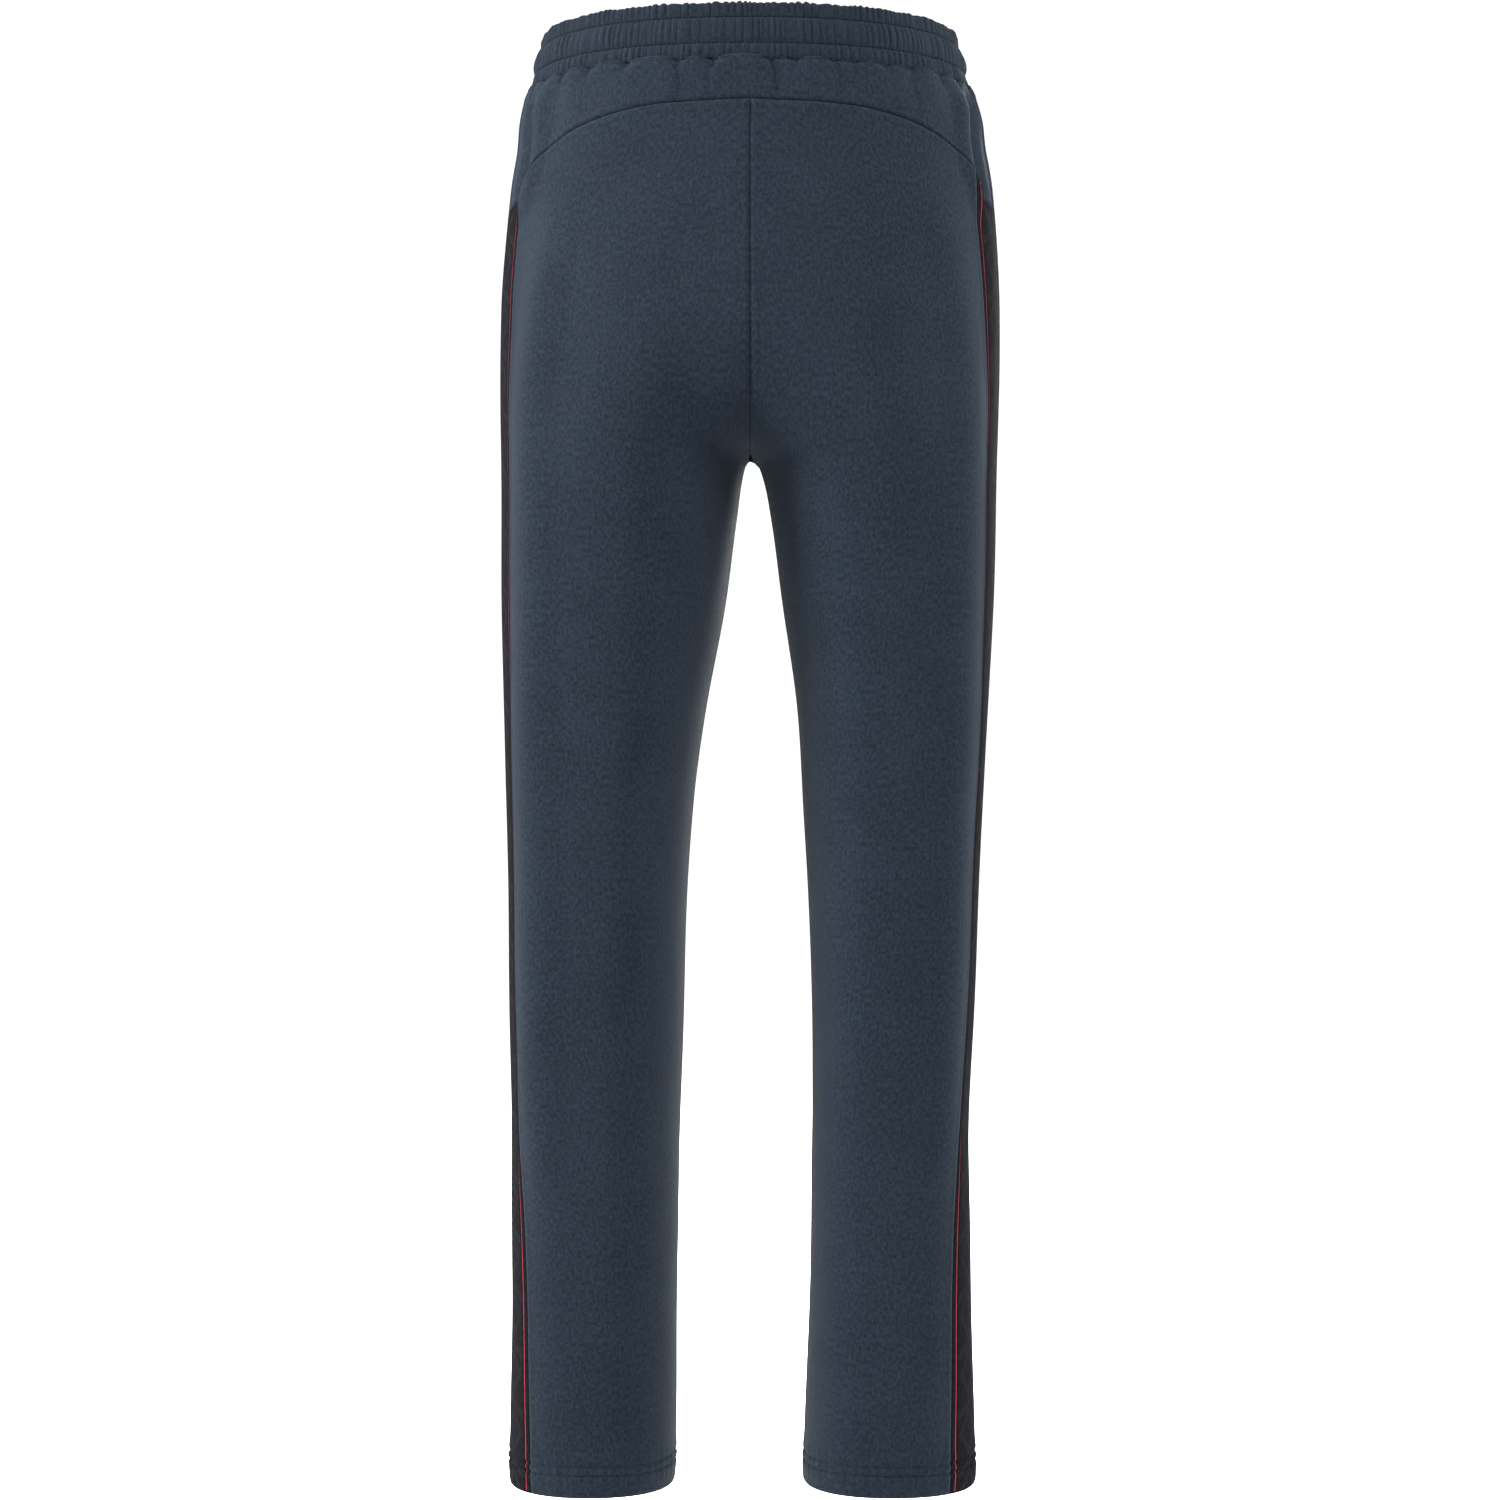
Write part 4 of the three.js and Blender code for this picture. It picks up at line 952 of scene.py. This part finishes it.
# %% Tapes and red lines
TAPE_EDGE = [(0.0, -3.4), (0.0, -1.7), (0.14, -1.0), (0.5, -0.5), (1.1, -0.15), (1.9, 0.0), (2.7, 0.0),
             (2.95, -0.5), (3.8, -0.5), (4.65, -0.5), (4.9, 0.0)]
LINE_EDGE = {"front": [(0.0, -0.5), (0.1, -0.12), (0.4, 0.0), (0.6, 0.04)],
             "back": [(0.0, -0.5), (0.05, -0.1), (0.25, 0.16), (0.5, 0.26)]}
LINE_INSET, LINE_HALF = 3.8, 0.78
for side in SIGN:
    for edge, sign in (("front", -1), ("back", 1)):
        middle = lambda z: tape_middle(side, z) + sign * (TAPE_HALF - LINE_INSET)
        line = cut_cloth(
            f"{side}_{edge}_red_line", side,
            start=lambda z: middle(z) - LINE_HALF, end=lambda z: middle(z) + LINE_HALF,
            top=lambda arc: yoke_line(arc) - GAP, bottom=fixed(HEM),
            columns=spread(LINE_EDGE[edge], [], LINE_EDGE[edge][::-1]), rows=long_rows(),
            material=RED, out=0.16, thickness=0.4)
        sew_in(line, both(side, f"{edge}_stripe"))
    tape = cut_cloth(
        f"{side}_side_braid", side,
        start=lambda z: tape_middle(side, z) - TAPE_HALF + GAP,
        end=lambda z: tape_middle(side, z) + TAPE_HALF - GAP,
        top=lambda arc: yoke_line(arc) - GAP, bottom=fixed(HEM),
        columns=even(10, TAPE_EDGE, TAPE_EDGE), rows=long_rows(), material=TAPE_BRAID,
        uv_middle=lambda z: tape_middle(side, z))
    sew_in(tape, both(side, "side_tape"))

# %% Hem stitches
HEM_STITCHES = 124
for side in SIGN:
    for name, up in HEM_ROWS.items():
        z = np.full(HEM_STITCHES, HEM + up)
        ends = front_end(side, z), back_end(side, z)
        arc = ends[0] + (ends[1] - ends[0]) * (np.arange(HEM_STITCHES) + 0.5) / HEM_STITCHES
        points, inside = cloth_points(side, arc, z, 0.3), cloth_points(side, arc, z, -1)
        stitch_row(f"{side}_hem_{name}_stitches", points, points - inside, f"{side}_hem_{name}_stitching",
                   f"{side}_leg", length=2.2)

# %% [markdown]
# ## Pockets, zips and small parts
# Each front pocket is a bag of thin cloth behind the panel, closed by a coil zip on a woven tape. The
# coil's turns are seen from outside as two rows of short beads that mesh along the middle.

# %% Pocket bags and zip tapes
OPEN_EDGE = [(0.0, 0.0)]
open_even = lambda count: even(count, OPEN_EDGE, OPEN_EDGE)
for side in SIGN:
    def bag_bottom(arc):
        y = plain_point(side, arc, np.full(np.shape(arc), -235.0))[1]
        return np.maximum(-262.0, -320 + np.sqrt(np.maximum(138 ** 2 - y ** 2, 0)))
    bag = cut_cloth(
        f"{side}_pocket_cloth", side, start=fixed(-170), end=fixed(-46), top=fixed(-43.5), bottom=bag_bottom,
        columns=open_even(40), rows=open_even(60), material=POCKETING, out=-4.1, folded=False, thickness=0.8)
    sew_in(bag, [f"{side}_pocket_bag"], crosses_hip=False)
    zip_cloth = cut_cloth(
        f"{side}_zip_cloth", side, start=lambda z: zip_line(z) - 10, end=lambda z: zip_line(z) + 10,
        top=fixed(ZIP_TOP), bottom=fixed(ZIP_BOTTOM), columns=open_even(8), rows=open_even(60),
        material=ZIP_CLOTH, out=-2.6, folded=False, thickness=0.6)
    sew_in(zip_cloth, [f"{side}_zip_tape"], crosses_hip=False)

# %% Zip coils
def zip_axes(side):
    """The zip's upper end and its directions: along it upwards, across it and out of the cloth."""
    point = lambda z, out: Vector(cloth_points(side, np.array([zip_line(z)]), np.array([z]), out, False)[0])
    top, bottom = point(ZIP_TOP, 0), point(ZIP_BOTTOM, 0)
    along = (top - bottom).normalized()
    middle = (ZIP_TOP + ZIP_BOTTOM) / 2
    out = point(middle, 1) - point(middle, 0)
    across = along.cross(out).normalized()
    return top, along, across, across.cross(along), (top - bottom).length


for side in SIGN:
    top, along, across, out, length = zip_axes(side)
    turn = Matrix((across, along, out)).transposed().to_4x4()
    size = Matrix.Diagonal((2.5 * MM, 0.95 * MM, 1.7 * MM, 1))
    pitch = 1.4 * MM
    count = int((length - 18 * MM) / pitch)
    spots = [top - along * (9 * MM + (i + half_step) * pitch) + across * lean * MM - out * 1.35 * MM
             for i in range(count) for half_step, lean in ((0.25, -0.85), (0.75, 0.85))]
    bead_row(f"{side}_zip_coil", [Matrix.Translation(spot) @ turn @ size for spot in spots], ZIP_TEETH,
             f"{side}_zip_chain", "hips")

# %% Labels
size_label = cut_across_back(
    "waist_label", lambda side, z: 21.0 + 0 * z, lambda side, arc: -5.5 + 0 * arc, fixed(-33.5),
    open_even(24), open_even(16), LABEL, out=-3.5, folded=False, thickness=0.35)
sew_in(size_label, ["size_label"], crosses_hip=False)
care_start = float(tape_middle("left", np.array([-128.0]))[0]) + TAPE_HALF + 2
care_label = cut_cloth(
    "seam_label", "left", start=fixed(care_start), end=fixed(care_start + 30), top=fixed(-128),
    bottom=fixed(-170), columns=open_even(18), rows=open_even(24), material=LABEL, out=-3.4, thickness=0.35)
sew_in(care_label, ["care_label"], crosses_hip=False)


# %% Metal and elastic that keep the frame's own shape
def dress(node, material):
    """Gives a CAD node its finish."""
    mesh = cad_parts[node].data
    mesh.materials.clear()
    mesh.materials.append(material)


dress("waist_elastic", ELASTIC)
for side in SIGN:
    dress(f"{side}_drawcord_eyelet", EYELET_METAL)
    dress(f"{side}_zip_slider", ZIP_METAL)
    dress(f"{side}_zip_puller", ZIP_METAL)

# %% [markdown]
# ## Floor, light and camera
# A pale floor runs out under the trousers to a white surround. Two tall softboxes stand at the sides, a
# little behind the wearer, so the outer edges of the legs are brighter than their middles. One overhead
# lights the seat, and one on the far side keeps the front from going dark. The camera looks at the back.

# %% Floor and surround
bm = bmesh.new()
bmesh.ops.create_circle(bm, cap_ends=True, radius=9, segments=96, matrix=Matrix.Translation((0, 0, -1.1)))
PALE = Finish("pale_floor", 0.9, specular=0.1)
PALE.feed("Base Color", PALE.ramp(PALE.noise(PALE.place("Object"), 3), (0.9, 0.9, 0.9), (0.93, 0.93, 0.93)))
floor = in_scene("floor", to_mesh(bm, "floor"), PALE.material)

world = bpy.data.worlds.new("surround")
bpy.context.scene.world = world
world.use_nodes = True
world.node_tree.nodes["Background"].inputs["Color"].default_value = (1, 1, 1, 1)
world.node_tree.nodes["Background"].inputs["Strength"].default_value = 1.15


# %% Softboxes
def softbox(name, spot, aim, width, height, power):
    light = bpy.data.lights.new(name, "AREA")
    light.shape, light.size, light.size_y, light.energy = "RECTANGLE", width, height, power
    lamp = bpy.data.objects.new(name, light)
    lamp.location = spot
    lamp.visible_camera = False
    lamp.rotation_euler = (Vector(aim) - Vector(spot)).to_track_quat("-Z", "Y").to_euler()
    bpy.context.scene.collection.objects.link(lamp)


softbox("left_softbox", (2.2, 0.7, 0.3), (0, 0, -0.3), 0.8, 1.4, 315)
softbox("right_softbox", (-2.2, 0.6, 0.3), (0, 0, -0.3), 0.8, 1.4, 130)
softbox("overhead_softbox", (-0.3, 1.5, 1.7), (0, 0, -0.2), 1.4, 1.0, 150)
softbox("front_softbox", (-0.6, -2.3, 0.5), (0, 0, -0.45), 1.2, 1.6, 170)

# %% Camera
camera_data = bpy.data.cameras.new("camera")
camera_data.lens, camera_data.sensor_width = 70, 36
camera = bpy.data.objects.new("camera", camera_data)
camera.location = (0, 2.1, -0.51)
camera.rotation_euler = (math.pi / 2, 0, math.pi)
bpy.context.scene.collection.objects.link(camera)
bpy.context.scene.camera = camera
bpy.context.scene.view_settings.view_transform = "Standard"
